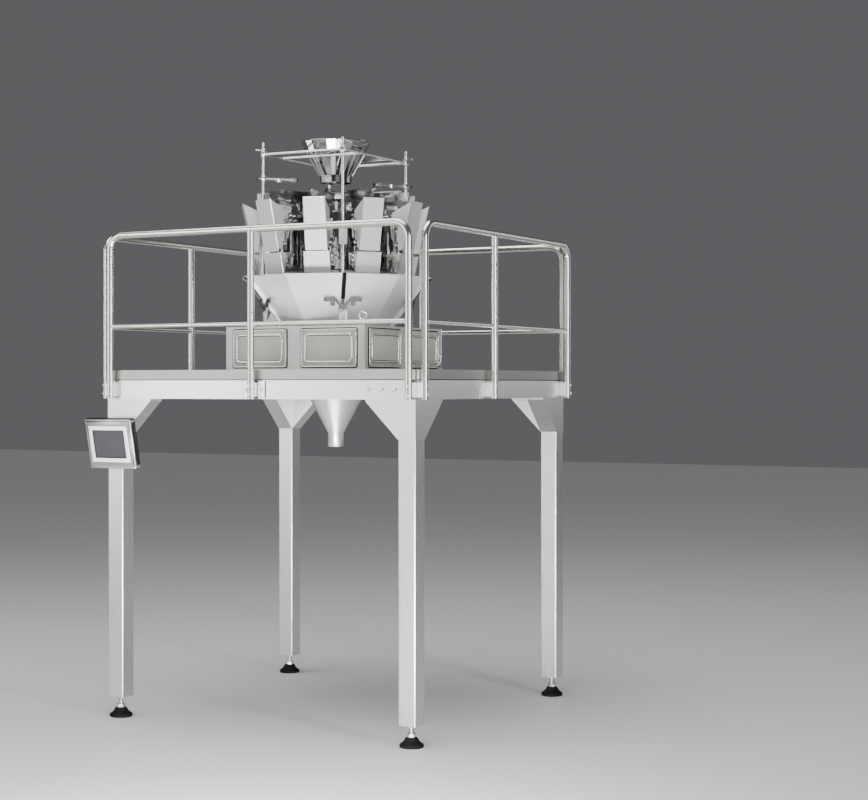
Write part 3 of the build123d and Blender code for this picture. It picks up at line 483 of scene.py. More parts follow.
def repeat(pattern: Piece, places: list[Matrix]) -> Piece:
    """Copies a pattern, each copy with its own mesh, to each place and joins the copies.

    Args:
        pattern: the piece modelled once about the origin; it is removed.
        places: where the copies go.

    Returns:
        One object that holds all copies.
    """
    settle(pattern)
    copies = []
    for place in places:
        copy = bpy.data.objects.new("copy", pattern.data.copy())
        copy.matrix_world = place
        bpy.context.collection.objects.link(copy)
        settle(copy)
        copies.append(copy)
    bpy.data.objects.remove(pattern)
    return merge(copies)


def moved(pattern: Piece, place: Matrix) -> Piece:
    """Sets a piece modelled about the origin at a place, which goes into its mesh."""
    pattern.matrix_world = place
    settle(pattern)
    return pattern


def ring_loops(rings: Rings, vertices: int, place: Vector, fill: str) -> Piece:
    """Extrudes a circle from one (radius, height) ring to the next.

    Args:
        rings: radius and height of each ring, from first to last.
        vertices: points on each ring.
        place: where height zero of the axis is.
        fill: how Blender fills the first circle.

    Returns:
        The round form with its faces outward.
    """
    deselect()
    radius, height = rings[0]
    bpy.ops.mesh.primitive_circle_add(vertices=vertices, radius=radius, fill_type=fill,
                                      location=place + Vector((0, 0, height)))
    piece = bpy.context.object
    edit(piece)
    for (last_radius, last_height), (radius, height) in zip(rings, rings[1:]):
        extrude((0, 0, height - last_height))
        ratio = radius / last_radius
        bpy.ops.transform.resize(value=(ratio, ratio, 1), center_override=place + Vector((0, 0, height)))
    face_out()
    return piece


def ring_stack(rings: Rings, vertices: int, place: Vector = Vector()) -> Piece:
    """Builds a solid round form from (radius, height) rings, smooth but for its sharp edges."""
    piece = ring_loops(rings, vertices, place, "NGON")
    smooth(piece)
    return piece


def shell_stack(rings: Rings, vertices: int, wall: float, place: Vector) -> Piece:
    """Builds an open round shell from (radius, height) rings of its outside, with a wall taken inward."""
    piece = ring_loops(rings, vertices, place, "NOTHING")
    activate(piece)
    solid = piece.modifiers.new("wall", "SOLIDIFY")
    solid.thickness = wall
    solid.offset = -1.0
    bpy.ops.object.modifier_apply(modifier=solid.name)
    smooth(piece)
    return piece


def bar(start: Vector, end: Vector, radius: float, sides: int = 24, chamfer: float = 0.0008) -> Piece:
    """Builds a round bar with chamfered ends between two points.

    Args:
        start: middle of one end.
        end: middle of the other.
        radius: the bar's radius.
        sides: points on its circle.
        chamfer: width of the broken edge at both ends.

    Returns:
        The bar.
    """
    run = end - start
    piece = ring_stack([(radius - chamfer, 0), (radius, chamfer), (radius, run.length - chamfer),
                        (radius - chamfer, run.length)], sides)
    return moved(piece, facing(start, run))


def radial_bar(level: float, start: float, end: float, radius: float, sides: int = 24,
               chamfer: float = 0.0008) -> Piece:
    """Builds a level bar along +X from one distance to another."""
    return bar(Vector((start, 0, level)), Vector((end, 0, level)), radius, sides, chamfer)


def block(size: Size, place: Vector, edge: float, steps: int = 2) -> Piece:
    """Builds a block with rounded edges.

    Args:
        size: its width, depth and height.
        place: its middle.
        edge: radius of its edges.
        steps: faces across each rounded edge.

    Returns:
        The block.
    """
    deselect()
    bpy.ops.mesh.primitive_cube_add(size=1, location=place)
    piece = bpy.context.object
    edit(piece)
    bpy.ops.transform.resize(value=size, center_override=place)
    bpy.ops.mesh.bevel(offset=edge, segments=steps, affect="EDGES")
    deselect()
    smooth(piece)
    return piece


def frame_ring(width: float, height: float, rim: float, depth: float, edge: float,
               window_height: float | None = None) -> Piece:
    """Builds a flat mitred frame with rounded edges, in the XZ plane about the origin, out along -Y.

    Args:
        width: outer width.
        height: outer height.
        rim: width of the frame's side members.
        depth: how far it stands out.
        edge: radius of its long edges.
        window_height: height of its opening, where top and bottom members are wider than the sides.

    Returns:
        The frame.
    """
    deselect()
    bpy.ops.mesh.primitive_plane_add(size=1, rotation=(math.pi / 2, 0, 0))
    piece = bpy.context.object
    settle(piece)
    edit(piece)
    bpy.ops.transform.resize(value=(width, 1, height), center_override=(0, 0, 0))
    bpy.ops.mesh.inset(thickness=rim)
    if window_height:
        bpy.ops.transform.resize(value=(1, 1, window_height / (height - 2 * rim)), center_override=(0, 0, 0))
    bpy.ops.mesh.delete(type="ONLY_FACE")
    bpy.ops.mesh.select_all(action="SELECT")
    extrude((0, -depth, 0))
    bpy.ops.mesh.select_all(action="SELECT")
    bpy.ops.mesh.normals_make_consistent(inside=False)
    # only the frame's own creases are rounded, so they are picked by their angle
    bpy.ops.mesh.select_mode(type="EDGE")
    bpy.ops.mesh.select_all(action="DESELECT")
    bpy.ops.mesh.edges_select_sharp(sharpness=math.radians(WIRE_CREASE))
    bpy.ops.mesh.bevel(offset=edge, segments=2, affect="EDGES")
    deselect()
    smooth(piece, 50)
    return piece


def open_circle(radius: float, sides: int, place: Size,
                turn: Size) -> Piece:
    """Adds the unfilled circle that a round wire is spun or wound from, with its place in its mesh."""
    deselect()
    bpy.ops.mesh.primitive_circle_add(vertices=sides, radius=radius, fill_type="NOTHING", location=place,
                                      rotation=turn)
    piece = bpy.context.object
    settle(piece)
    return piece


def wire_ring(width: float, height: float, corner: float, radius: float, out: float = 0.0, sides: int = WIRE,
              steps: int = 5) -> Piece:
    """Builds a round ridge bent into a rectangle with rounded corners, in the XZ plane about the origin.

    Args:
        width: distance between the middles of its upright sides.
        height: distance between the middles of its level sides.
        corner: bend radius on the ridge's middle line.
        radius: the ridge's own radius.
        out: where on the Y axis it then lies.
        sides: points round the ridge.
        steps: faces along each bend.

    Returns:
        The closed ridge.
    """
    across, up = width / 2 - corner, height / 2 - corner
    piece = open_circle(radius, sides, (-across, 0, -height / 2), (0, math.pi / 2, 0))
    edit(piece)
    for run, center in (((2 * across, 0, 0), (across, 0, -up)), ((0, 0, 2 * up), (across, 0, up)),
                        ((-2 * across, 0, 0), (-across, 0, up)), ((0, 0, -2 * up), (-across, 0, -up))):
        extrude(run)
        bpy.ops.mesh.spin(steps=steps, angle=math.pi / 2, center=center, axis=(0, 1, 0))
    face_out(weld=True)
    smooth(piece, WIRE_CREASE)
    return moved(piece, Matrix.Translation((0, out, 0)))


# Outlines of small fasteners, as shares of their radius.
SCREW_SHARES = ((1, 0), (1, 0.25), (0.8, 0.55), (0.48, 0.62), (0.42, 0.2))
WASHER_SHARES = ((1.25, 0), (1.3, 0.05), (1.3, 0.16), (1.2, 0.2))
HEXAGON_SHARES = ((0.97, 0.2), (1, 0.26), (1, 0.75), (0.9, 0.86))


def scaled(shares: Rings, size: float) -> Rings:
    """Turns an outline in shares of a size into metres."""
    return [(size * across, size * up) for across, up in shares]


def raised(rings: Rings, level: float) -> Rings:
    """Moves an outline up to a level."""
    return [(radius, level + rise) for radius, rise in rings]


def screw(radius: float, sides: int = WIRE) -> Piece:
    """Builds a button head with a hexagon socket, its underside on the origin's level, up along Z."""
    return ring_stack(scaled(SCREW_SHARES, radius), sides)


def hex_bolt(radius: float) -> Piece:
    """Builds a hexagon head on a washer, its underside on the origin's level, up along Z."""
    return merge([ring_stack(scaled(WASHER_SHARES, radius), 18), ring_stack(scaled(HEXAGON_SHARES, radius), HEXAGON)])


def bead(radius: float, thickness: float) -> Piece:
    """Builds a weld bead round a tube that stands on the origin along Z."""
    return ring_stack([(radius * 0.9, 0), (radius + thickness, thickness * 0.4),
                       (radius + thickness * 0.8, thickness * 1.2), (radius * 0.9, thickness * 2.4)], 24)


def facing(place: Vector, out: Vector) -> Matrix:
    """Matrix that sets a pattern built up along Z at a place, with its Z along a direction."""
    return Matrix.Translation(place) @ out.to_track_quat("Z", "Y").to_matrix().to_4x4()


def spoke(axis: Vector, azimuth: float) -> Matrix:
    """Matrix that turns a pattern modelled along +X about the weigher's axis.

    Args:
        axis: the axis' place on the floor.
        azimuth: degrees from the front, to the right as seen from above.

    Returns:
        The placing matrix.
    """
    return Matrix.Translation(axis) @ Matrix.Rotation(math.radians(azimuth - 90), 4, "Z")


def inset_corners(node: str, inset: float) -> list[Pair]:
    """The four corners of a CAD node's box as seen from above, moved inward."""
    low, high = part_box(node)
    return [(x, y) for x in (low.x + inset, high.x - inset) for y in (low.y + inset, high.y - inset)]


def middle_of(node: str) -> Vector:
    """Middle of a CAD node's box."""
    low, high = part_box(node)
    return (low + high) / 2


def axis_of_weigher() -> Vector:
    """The weigher's axis on the floor, from its drum."""
    axis = middle_of("drum")
    axis.z = 0
    return axis


@dataclass
class RailSide:
    """Where one guard rail runs, read off its CAD node."""

    node: str

    def __post_init__(self) -> None:
        """Reads the rail's box, the radius of its tube and the axis that it follows."""
        self.low, self.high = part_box(self.node)
        self.along: int = 0 if self.high.x - self.low.x > self.high.y - self.low.y else 1
        self.across: int = 1 - self.along
        self.radius: float = (self.high[self.across] - self.low[self.across]) / 2
        self.start, self.end = self.low[self.along] + self.radius, self.high[self.along] - self.radius
        self.top: float = self.high.z - self.radius
        self.step = Vector((self.across, self.along, 0))

    def point(self, distance: float, height: float) -> Vector:
        """Point on the rail's plane."""
        place = middle_of(self.node)
        place[self.along] = distance
        place.z = height
        return place

    def outward(self, middle: Vector) -> Vector:
        """Direction from the platform's middle to the rail."""
        out = Vector()
        out[self.across] = math.copysign(1, middle_of(self.node)[self.across] - middle[self.across])
        return out


@dataclass
class GuardRails:
    """Bent rail tubes, posts and bars with their weld beads and bolts."""

    bend: float = 0.080
    bend_steps: int = 10
    sides: int = FINE
    side_mid_offset: float = -0.080
    bar_radius: float = 0.0125
    bar_sides: int = ROUND
    bead_thickness: float = 0.0018
    bead_share: float = 1.6
    bolt_radius: float = 0.008
    bolt_levels: Pair = (0.026, 0.071)

    def bent_tube(self, rail: RailSide) -> Piece:
        """Builds one bent rail: up from the deck, along its side and down again.

        Args:
            rail: the rail's place.

        Returns:
            The tube.
        """
        deselect()
        bpy.ops.mesh.primitive_circle_add(vertices=self.sides, radius=rail.radius, fill_type="NGON",
                                          location=rail.point(rail.start, rail.low.z))
        tube = bpy.context.object
        edit(tube)
        rise = Vector((0, 0, rail.top - self.bend - rail.low.z))
        level_run = rail.step * (rail.end - rail.start - 2 * self.bend)
        turn_axis = FORWARD if rail.along == 0 else RIGHT
        for run, corner in ((rise, rail.start + self.bend), (level_run, rail.end - self.bend)):
            extrude(run)
            bpy.ops.mesh.spin(steps=self.bend_steps, angle=math.pi / 2,
                              center=rail.point(corner, rail.top - self.bend), axis=turn_axis)
        extrude(-rise)
        face_out(weld=True)
        smooth(tube)
        return tube

    def build(self) -> None:
        """Builds rails, posts, mid bars, beads and bolts in place of their CAD nodes."""
        level = middle_of("rail_mid_bars").z
        platform = middle_of("legs")
        posts, bars, beads, bolts = [], [], [], []
        for side in ("front", "rear", "left", "right"):
            rail = RailSide(f"rail_{side}")
            tube = seat(self.bent_tube(rail), f"bent_{rail.node}", "rail")
            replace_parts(tube, rail.node)
            out = rail.outward(platform)
            middle = platform[rail.along] + (self.side_mid_offset if rail.along else 0)
            posts.append(bar(rail.point(middle, rail.low.z), rail.point(middle, rail.top), rail.radius, self.sides))
            bead_level = rail.top - rail.radius - self.bead_thickness * self.bead_share
            beads.append((rail.point(middle, bead_level), UP, rail.radius))
            stops = (rail.start, middle, rail.end)
            for first, last in zip(stops, stops[1:]):
                first, last = rail.point(first, level), rail.point(last, level)
                bars.append(bar(first, last, self.bar_radius, self.bar_sides))
                beads.append((first + rail.step * rail.radius, rail.step, self.bar_radius))
                beads.append((last - rail.step * rail.radius, -rail.step, self.bar_radius))
            bolts += [facing(rail.point(stop, rail.low.z + bolt_level) + out * (rail.radius - SUNK), out)
                      for stop in stops for bolt_level in self.bolt_levels]
        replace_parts(seat(merge(posts), "rail_mid_posts", "rail"), "rail_posts")
        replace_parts(seat(merge(bars), "rail_bars", "rail"), "rail_mid_bars")
        welds = [repeat(bead(radius, self.bead_thickness), [facing(place, out)]) for place, out, radius in beads]
        seat(merge(welds), "rail_weld_beads", "weld")
        seat(repeat(hex_bolt(self.bolt_radius), bolts), "rail_bolts", "bolt")


@dataclass
class Platform:
    """Screws, weld seams, corner plates and black strips of painted shadow on the beams, haunches and deck."""

    screw_radius: float = 0.0105
    beam_screw_offsets: Size = (0.685, 0.760, 0.834)
    cover_screw_inset: float = 0.020
    leg_side: float = 0.100
    seam: float = 0.0016
    plate: Size = (0.022, 0.004, 0.049)
    plate_edge: float = 0.001
    front_plate_share: float = 0.7
    side_plate_share: float = 1.4
    # black strip of painted shadow in the slot at the front right corner: width, depth, height
    slot: Size = (0.008, 0.0012, 0.092)
    # black strips of painted shadow under the deck's edges and round the joint cover: depth, height, edge radius, and
    # how far they stand past the cover
    shadow_strip_depth: float = 0.0024
    shadow_strip_height: float = 0.0045
    shadow_strip_edge: float = 0.0006
    cover_margin: float = 0.005

    def build(self) -> None:
        """Builds the fasteners, seams, plates and painted shadow strips."""
        platform = middle_of("legs")
        beam_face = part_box("beam_front_right")[0].y
        cover_low, cover_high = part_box("joint_covers")
        spots = [(platform.x + offset, beam_face) for offset in self.beam_screw_offsets]
        spots += [(x, cover_low.y) for x in (cover_low.x + self.cover_screw_inset,
                                             cover_high.x - self.cover_screw_inset)]
        level = middle_of("beam_front_right").z
        places = [facing(Vector((x, y, level)), FORWARD) for x, y in spots]
        seat(repeat(screw(self.screw_radius), places), "beam_screws", "bright")
        self.seams()
        self.corner_plates()
        self.gap_shadow_strips()

    def seams(self) -> None:
        """Builds the weld seams where the haunches stand on the legs."""
        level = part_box("haunches")[0].z
        width = self.leg_side + self.seam
        pattern = block((width, width, self.seam * 2), Vector(), self.seam * 0.9)
        places = [Matrix.Translation((x, y, level)) for x, y in inset_corners("legs", self.leg_side / 2)]
        seat(repeat(pattern, places), "leg_weld_seams", "weld")

    def corner_plates(self) -> None:
        """Builds the plates that tie the deck sheet to its edge at the front right corner, and below them a black
        strip that paints the shadow in the slot between bracket and post.
        """
        low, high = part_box("deck_front")
        level = (low.z + high.z) / 2
        width, thickness, height = self.plate
        x = high.x - width * self.front_plate_share
        front = block(self.plate, Vector((x, low.y - thickness / 2, level)), self.plate_edge)
        side = block((thickness, width, height),
                     Vector((high.x + thickness / 2, low.y + width * self.side_plate_share, level)), self.plate_edge)
        seat(merge([front, side]), "deck_corner_plates", "plate")
        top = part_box("beam_front_right")[1].z
        # black strip as painted shadow in the corner slot
        slot = block(self.slot, Vector((x, low.y - self.slot[1] / 2, top - self.slot[2] / 2)), self.shadow_strip_edge)
        seat(slot, "corner_slot_shadow_strip", "rubber_and_shade")

    def gap_shadow_strips(self) -> None:
        """Builds the black strips of painted shadow between deck and beams and behind the joint covers, where they
        show as a dark outline.
        """
        low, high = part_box("deck_front")
        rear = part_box("deck_rear")[1].y
        level = low.z + self.shadow_strip_height / 2
        shapes = [((high.x - low.x, self.shadow_strip_depth, self.shadow_strip_height), ((low.x + high.x) / 2, y, level))
                  for y in (low.y, rear)]
        shapes += [((self.shadow_strip_depth, rear - low.y, self.shadow_strip_height), (x, (low.y + rear) / 2, level))
                   for x in (low.x, high.x)]
        cover_low, cover_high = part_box("joint_covers")
        width = cover_high.x - cover_low.x + 2 * self.cover_margin
        cover = middle_of("joint_covers")
        shapes.append(((width, self.shadow_strip_depth, cover_high.z - cover_low.z),
                       (cover.x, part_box("beam_front_right")[0].y, cover.z)))
        # black strips that paint the shadow in the gaps under the deck and round the joint cover
        shadow_lines = [block(size, Vector(place), self.shadow_strip_edge) for size, place in shapes]
        seat(merge(shadow_lines), "deck_gap_shadow_strips", "rubber_and_shade")


@dataclass
class LevellingFeet:
    """Rubber pads on threaded studs with their nuts and washers."""

    pad: Rings = ((0.057, 0), (0.061, 0.003), (0.061, 0.015), (0.057, 0.019),
                  (0.046, 0.026), (0.036, 0.037), (0.031, 0.049), (0.027, 0.050))
    pad_sides: int = 40
    pitch: float = 0.003
    stud_radius: float = 0.012
    stud_sides: int = ROUND
    thread_depth: float = 0.0014
    nut: Rings = ((0.021, 0), (0.024, 0.002), (0.024, 0.018), (0.021, 0.020))
    washer: Rings = ((0.033, 0), (0.034, 0.001), (0.034, 0.005), (0.033, 0.006))
    washer_sides: int = 32

    def build(self) -> None:
        """Builds four feet in place of their CAD nodes; the thread is drawn coarser than it is."""
        pad_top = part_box("foot_pads")[1].z
        leg_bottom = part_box("legs")[0].z
        places = [Matrix.Translation((x, y, 0)) for x, y in inset_corners("foot_pads", self.pad[1][0])]
        pads = seat(repeat(ring_stack(self.pad, self.pad_sides), places), "foot_rubber_pads", "rubber_and_shade")
        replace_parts(pads, "foot_pads")
        level = pad_top - SUNK
        thread = []
        while level < leg_bottom:
            thread += [(self.stud_radius, level), (self.stud_radius - self.thread_depth, level + self.pitch / 2)]
            level += self.pitch
        stud = ring_stack(thread, self.stud_sides)
        nut = ring_stack(raised(self.nut, pad_top), HEXAGON)
        washer = ring_stack(raised(self.washer, leg_bottom - self.washer[-1][1]), self.washer_sides)
        studs = seat(repeat(merge([stud, nut, washer]), places), "threaded_studs", "bolt")
        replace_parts(studs, "foot_studs")


@dataclass
class WeigherBase:
    """Doors with edge beads, pressed ridges, black seals that also paint the shadow lines round doors and panels,
    screws, corner seams, a toggle clip and a lifting eye.
    """

    door: Size = (0.350, 0.004, 0.207)
    door_edge: float = 0.0012
    panel_rise: float = 0.002
    panel_edge: float = 0.0008
    corner: float = 0.020
    edge_radius: float = 0.0035
    ridge_inset: float = 0.030
    ridge_radius: float = 0.0065
    seal_radius: float = 0.0036
    seal_corner: float = 0.010
    seal_sides: int = THIN
    inner_seal_share: float = 0.7
    screw_radius: float = 0.0070
    screw_inset: float = 0.013
    seam_radius: float = 0.0035
    eye_radius: float = 0.020
    eye_wire: float = 0.0045
    eye_neck: float = 0.031
    eye_inset: float = 0.018
    eye_turn: float = 35.0
    eye_collar: Rings = ((0.014, 0), (0.014, 0.004), (0.011, 0.006), (0.007, 0.012), (0.006, 0.031))
    clip_inset: float = 0.022
    # two plates and a lever of the toggle clip: size, distance out and down, edge radius, steps across the edge
    clip_blocks: tuple[tuple[Size, Pair, float, int], ...] = (
        ((0.004, 0.026, 0.034), (0.002, 0.205), 0.001, 2),
        ((0.004, 0.026, 0.030), (0.002, 0.160), 0.001, 2),
        ((0.007, 0.014, 0.060), (0.007, 0.184), 0.0025, 3))
    # the clip's wire loop: distance out, half its width, distance down
    clip_loop: Size = (0.010, 0.010, 0.166)
    clip_wire: float = 0.003

    def build(self) -> None:
        """Builds the doors, seams, clip and eye."""
        low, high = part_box("base_box")
        half = (high.x - low.x) / 2
        spots = [spoke(axis_of_weigher(), azimuth) @ Matrix.Translation((shift, -half, (low.z + high.z) / 2))
                 for azimuth in (90, 180, 270, 360) for shift in (-half / 2, half / 2)]
        self.doors(spots)
        seams = [bar(Vector((x, y, low.z)), Vector((x, y, high.z)), self.seam_radius, SMALL)
                 for x, y in inset_corners("base_box", SUNK)]
        seat(merge(seams), "base_corner_seams", "weld")
        self.clip(Vector((high.x, high.y - self.clip_inset, high.z)))
        self.eye(Vector((high.x - self.eye_inset, low.y + self.eye_inset, high.z)))

    def doors(self, spots: list[Matrix]) -> None:
        """Builds the doors with all that they carry.

        Args:
            spots: the middle of each door's back, with its outside along -Y.
        """
        width, thickness, height = self.door
        face = -thickness
        border = 2 * (self.ridge_inset + self.ridge_radius)
        panel_width, panel_height = width - border, height - border
        plate = block(self.door, Vector((0, face / 2, 0)), self.door_edge)
        panel = block((panel_width, self.panel_rise, panel_height), Vector((0, face - self.panel_rise / 2, 0)),
                      self.panel_edge)
        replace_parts(seat(repeat(plate, spots), "door_plates", "base"), "base_doors")
        seat(repeat(panel, spots), "door_panels", "door_panel")
        ridges = [wire_ring(width - 2 * inset, height - 2 * inset, self.corner, radius, face)
                  for inset, radius in ((self.edge_radius, self.edge_radius), (self.ridge_inset, self.ridge_radius))]
        seat(repeat(merge(ridges), spots), "door_ridges", "bright")
        # black rings round each door and round its panel: rubber seals, and also painted shadow lines along these
        # edges
        shadow_lines = [wire_ring(width + self.seal_radius, height + self.seal_radius, self.seal_corner, self.seal_radius,
                           0.0, self.seal_sides),
                 wire_ring(panel_width, panel_height, self.seal_corner, self.seal_radius * self.inner_seal_share,
                           face, self.seal_sides)]
        seat(repeat(merge(shadow_lines), spots), "door_seals_and_shadow_lines", "rubber_and_shade")
        across, up = width / 2 - self.screw_inset, height / 2 - self.screw_inset
        places = [spot @ facing(Vector((x, face, z)), FORWARD)
                  for spot in spots for x in (-across, 0, across) for z in (-up, up)]
        seat(repeat(screw(self.screw_radius, SMALL), places), "door_screws", "bright")

    def clip(self, corner: Vector) -> None:
        """Builds the toggle clip at the rear end of the base's right side.

        Args:
            corner: the point at the top of that side from which the clip is measured.
        """
        parts = [block(size, corner + Vector((out, 0, -down)), edge, steps)
                 for size, (out, down), edge, steps in self.clip_blocks]
        out, half, down = self.clip_loop
        ends = [corner + Vector((out, side * half, -down)) for side in (-1, 1)]
        seat(merge([*parts, bar(*ends, self.clip_wire, WIRE)]), "base_toggle_clip", "bright")

    def eye(self, place: Vector) -> None:
        """Builds the lifting eye at the base's front right corner.

        Args:
            place: where it stands on the base.
        """
        ring = open_circle(self.eye_wire, WIRE, (self.eye_radius, 0, 0), (math.pi / 2, 0, 0))
        edit(ring)
        bpy.ops.mesh.spin(steps=32, angle=2 * math.pi, center=(0, 0, 0), axis=(0, 0, 1))
        face_out(weld=True)
        smooth(ring, WIRE_CREASE)
        middle = place + Vector((0, 0, self.eye_radius + self.eye_neck))
        moved(ring, Matrix.Translation(middle) @ Matrix.Rotation(math.radians(self.eye_turn), 4, "Z")
              @ Matrix.Rotation(math.pi / 2, 4, "X"))
        collar = ring_stack(self.eye_collar, ROUND, place)
        seat(merge([ring, collar]), "lifting_eye", "bright")


@dataclass
class Chutes:
    """Black strips of painted shade in the open gaps, latch plates and screws, and the rolled rims of the collecting
    chutes.
    """

    corners: int = 10
    top_radius: float = 0.532
    bottom_radius: float = 0.310
    strip_width: float = 0.024
    strip_depth: float = 0.012
    strip_foot: float = 0.150
    strip_out: float = 0.006
    strip_edge: float = 0.002
    knob: Size = (0.016, 0.018, 0.014)
    knob_edge: float = 0.004
    knob_out: float = 0.004
    knob_drop: float = 0.012
    plate: Size = (0.003, 0.043, 0.088)
    plate_face: float = 0.4278
    plate_rise: float = 0.046
    plate_edge: float = 0.001
    screw_radius: float = 0.007
    screw_rise: float = 0.072
    screw_sunk: float = 0.0002
    rim_radius: float = 0.0026
    rim_chamfer: float = 0.0004
    rim_gap: float = 0.012

    def build(self) -> None:
        """Builds what the chutes carry at their gaps and along their rims."""
        axis = axis_of_weigher()
        low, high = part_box("chute_segments")
        turns = [spoke(axis, 360 / self.corners * index) for index in range(self.corners + 1)]
        places = turns[1::2]
        slope = math.atan2(self.top_radius - self.bottom_radius, high.z - low.z)
        foot, head = low.z + self.strip_foot, high.z - SUNK
        middle = (foot + head) / 2
        radius = self.bottom_radius + (middle - low.z) * math.tan(slope) + self.strip_out
        # a black strip in each open gap between chutes, with a black knob at its top by the rim, paints the shade
        # inside the gap
        strip = block((self.strip_depth, self.strip_width, (head - foot) / math.cos(slope)), Vector(), self.strip_edge)
        moved(strip, Matrix.Translation((radius, 0, middle)) @ Matrix.Rotation(slope, 4, "Y"))
        knob = block(self.knob, Vector((self.top_radius + self.knob_out, 0, high.z - self.knob_drop)),
                     self.knob_edge, 3)
        seat(repeat(merge([strip, knob]), places), "gap_painted_shade_strips", "rubber_and_shade")
        thickness = self.plate[0]
        plate = block(self.plate, Vector((self.plate_face + thickness / 2, 0, low.z + self.plate_rise)),
                      self.plate_edge)
        seat(repeat(plate, places), "latch_face_plates", "plate")
        screw_place = Vector((self.plate_face + thickness - self.screw_sunk, 0, low.z + self.screw_rise))
        screws = [spot @ facing(screw_place, RIGHT) for spot in places]
        seat(repeat(screw(self.screw_radius), screws), "latch_screws", "bolt")
        self.rims(turns, Vector(((high.y - low.y) / 2 - self.rim_radius, 0, high.z - self.rim_radius)))

    def rims(self, turns: list[Matrix], corner: Vector) -> None:
        """Builds the rolled rim along the top edge of every facet.

        Args:
            turns: the placing matrix of each corner of the ring of facets, with the first one again at the end.
            corner: a corner of the rim on the pattern's spoke.
        """
        rims = []
        for index, (turn, next_turn) in enumerate(zip(turns, turns[1:])):
            first, last = turn @ corner, next_turn @ corner
            step = (last - first).normalized() * self.rim_gap
            ends = (first + step, last) if index % 2 else (first, last - step)
            rims.append(bar(*ends, self.rim_radius, THIN, self.rim_chamfer))
        seat(merge(rims), "chute_rolled_rims", "bright")


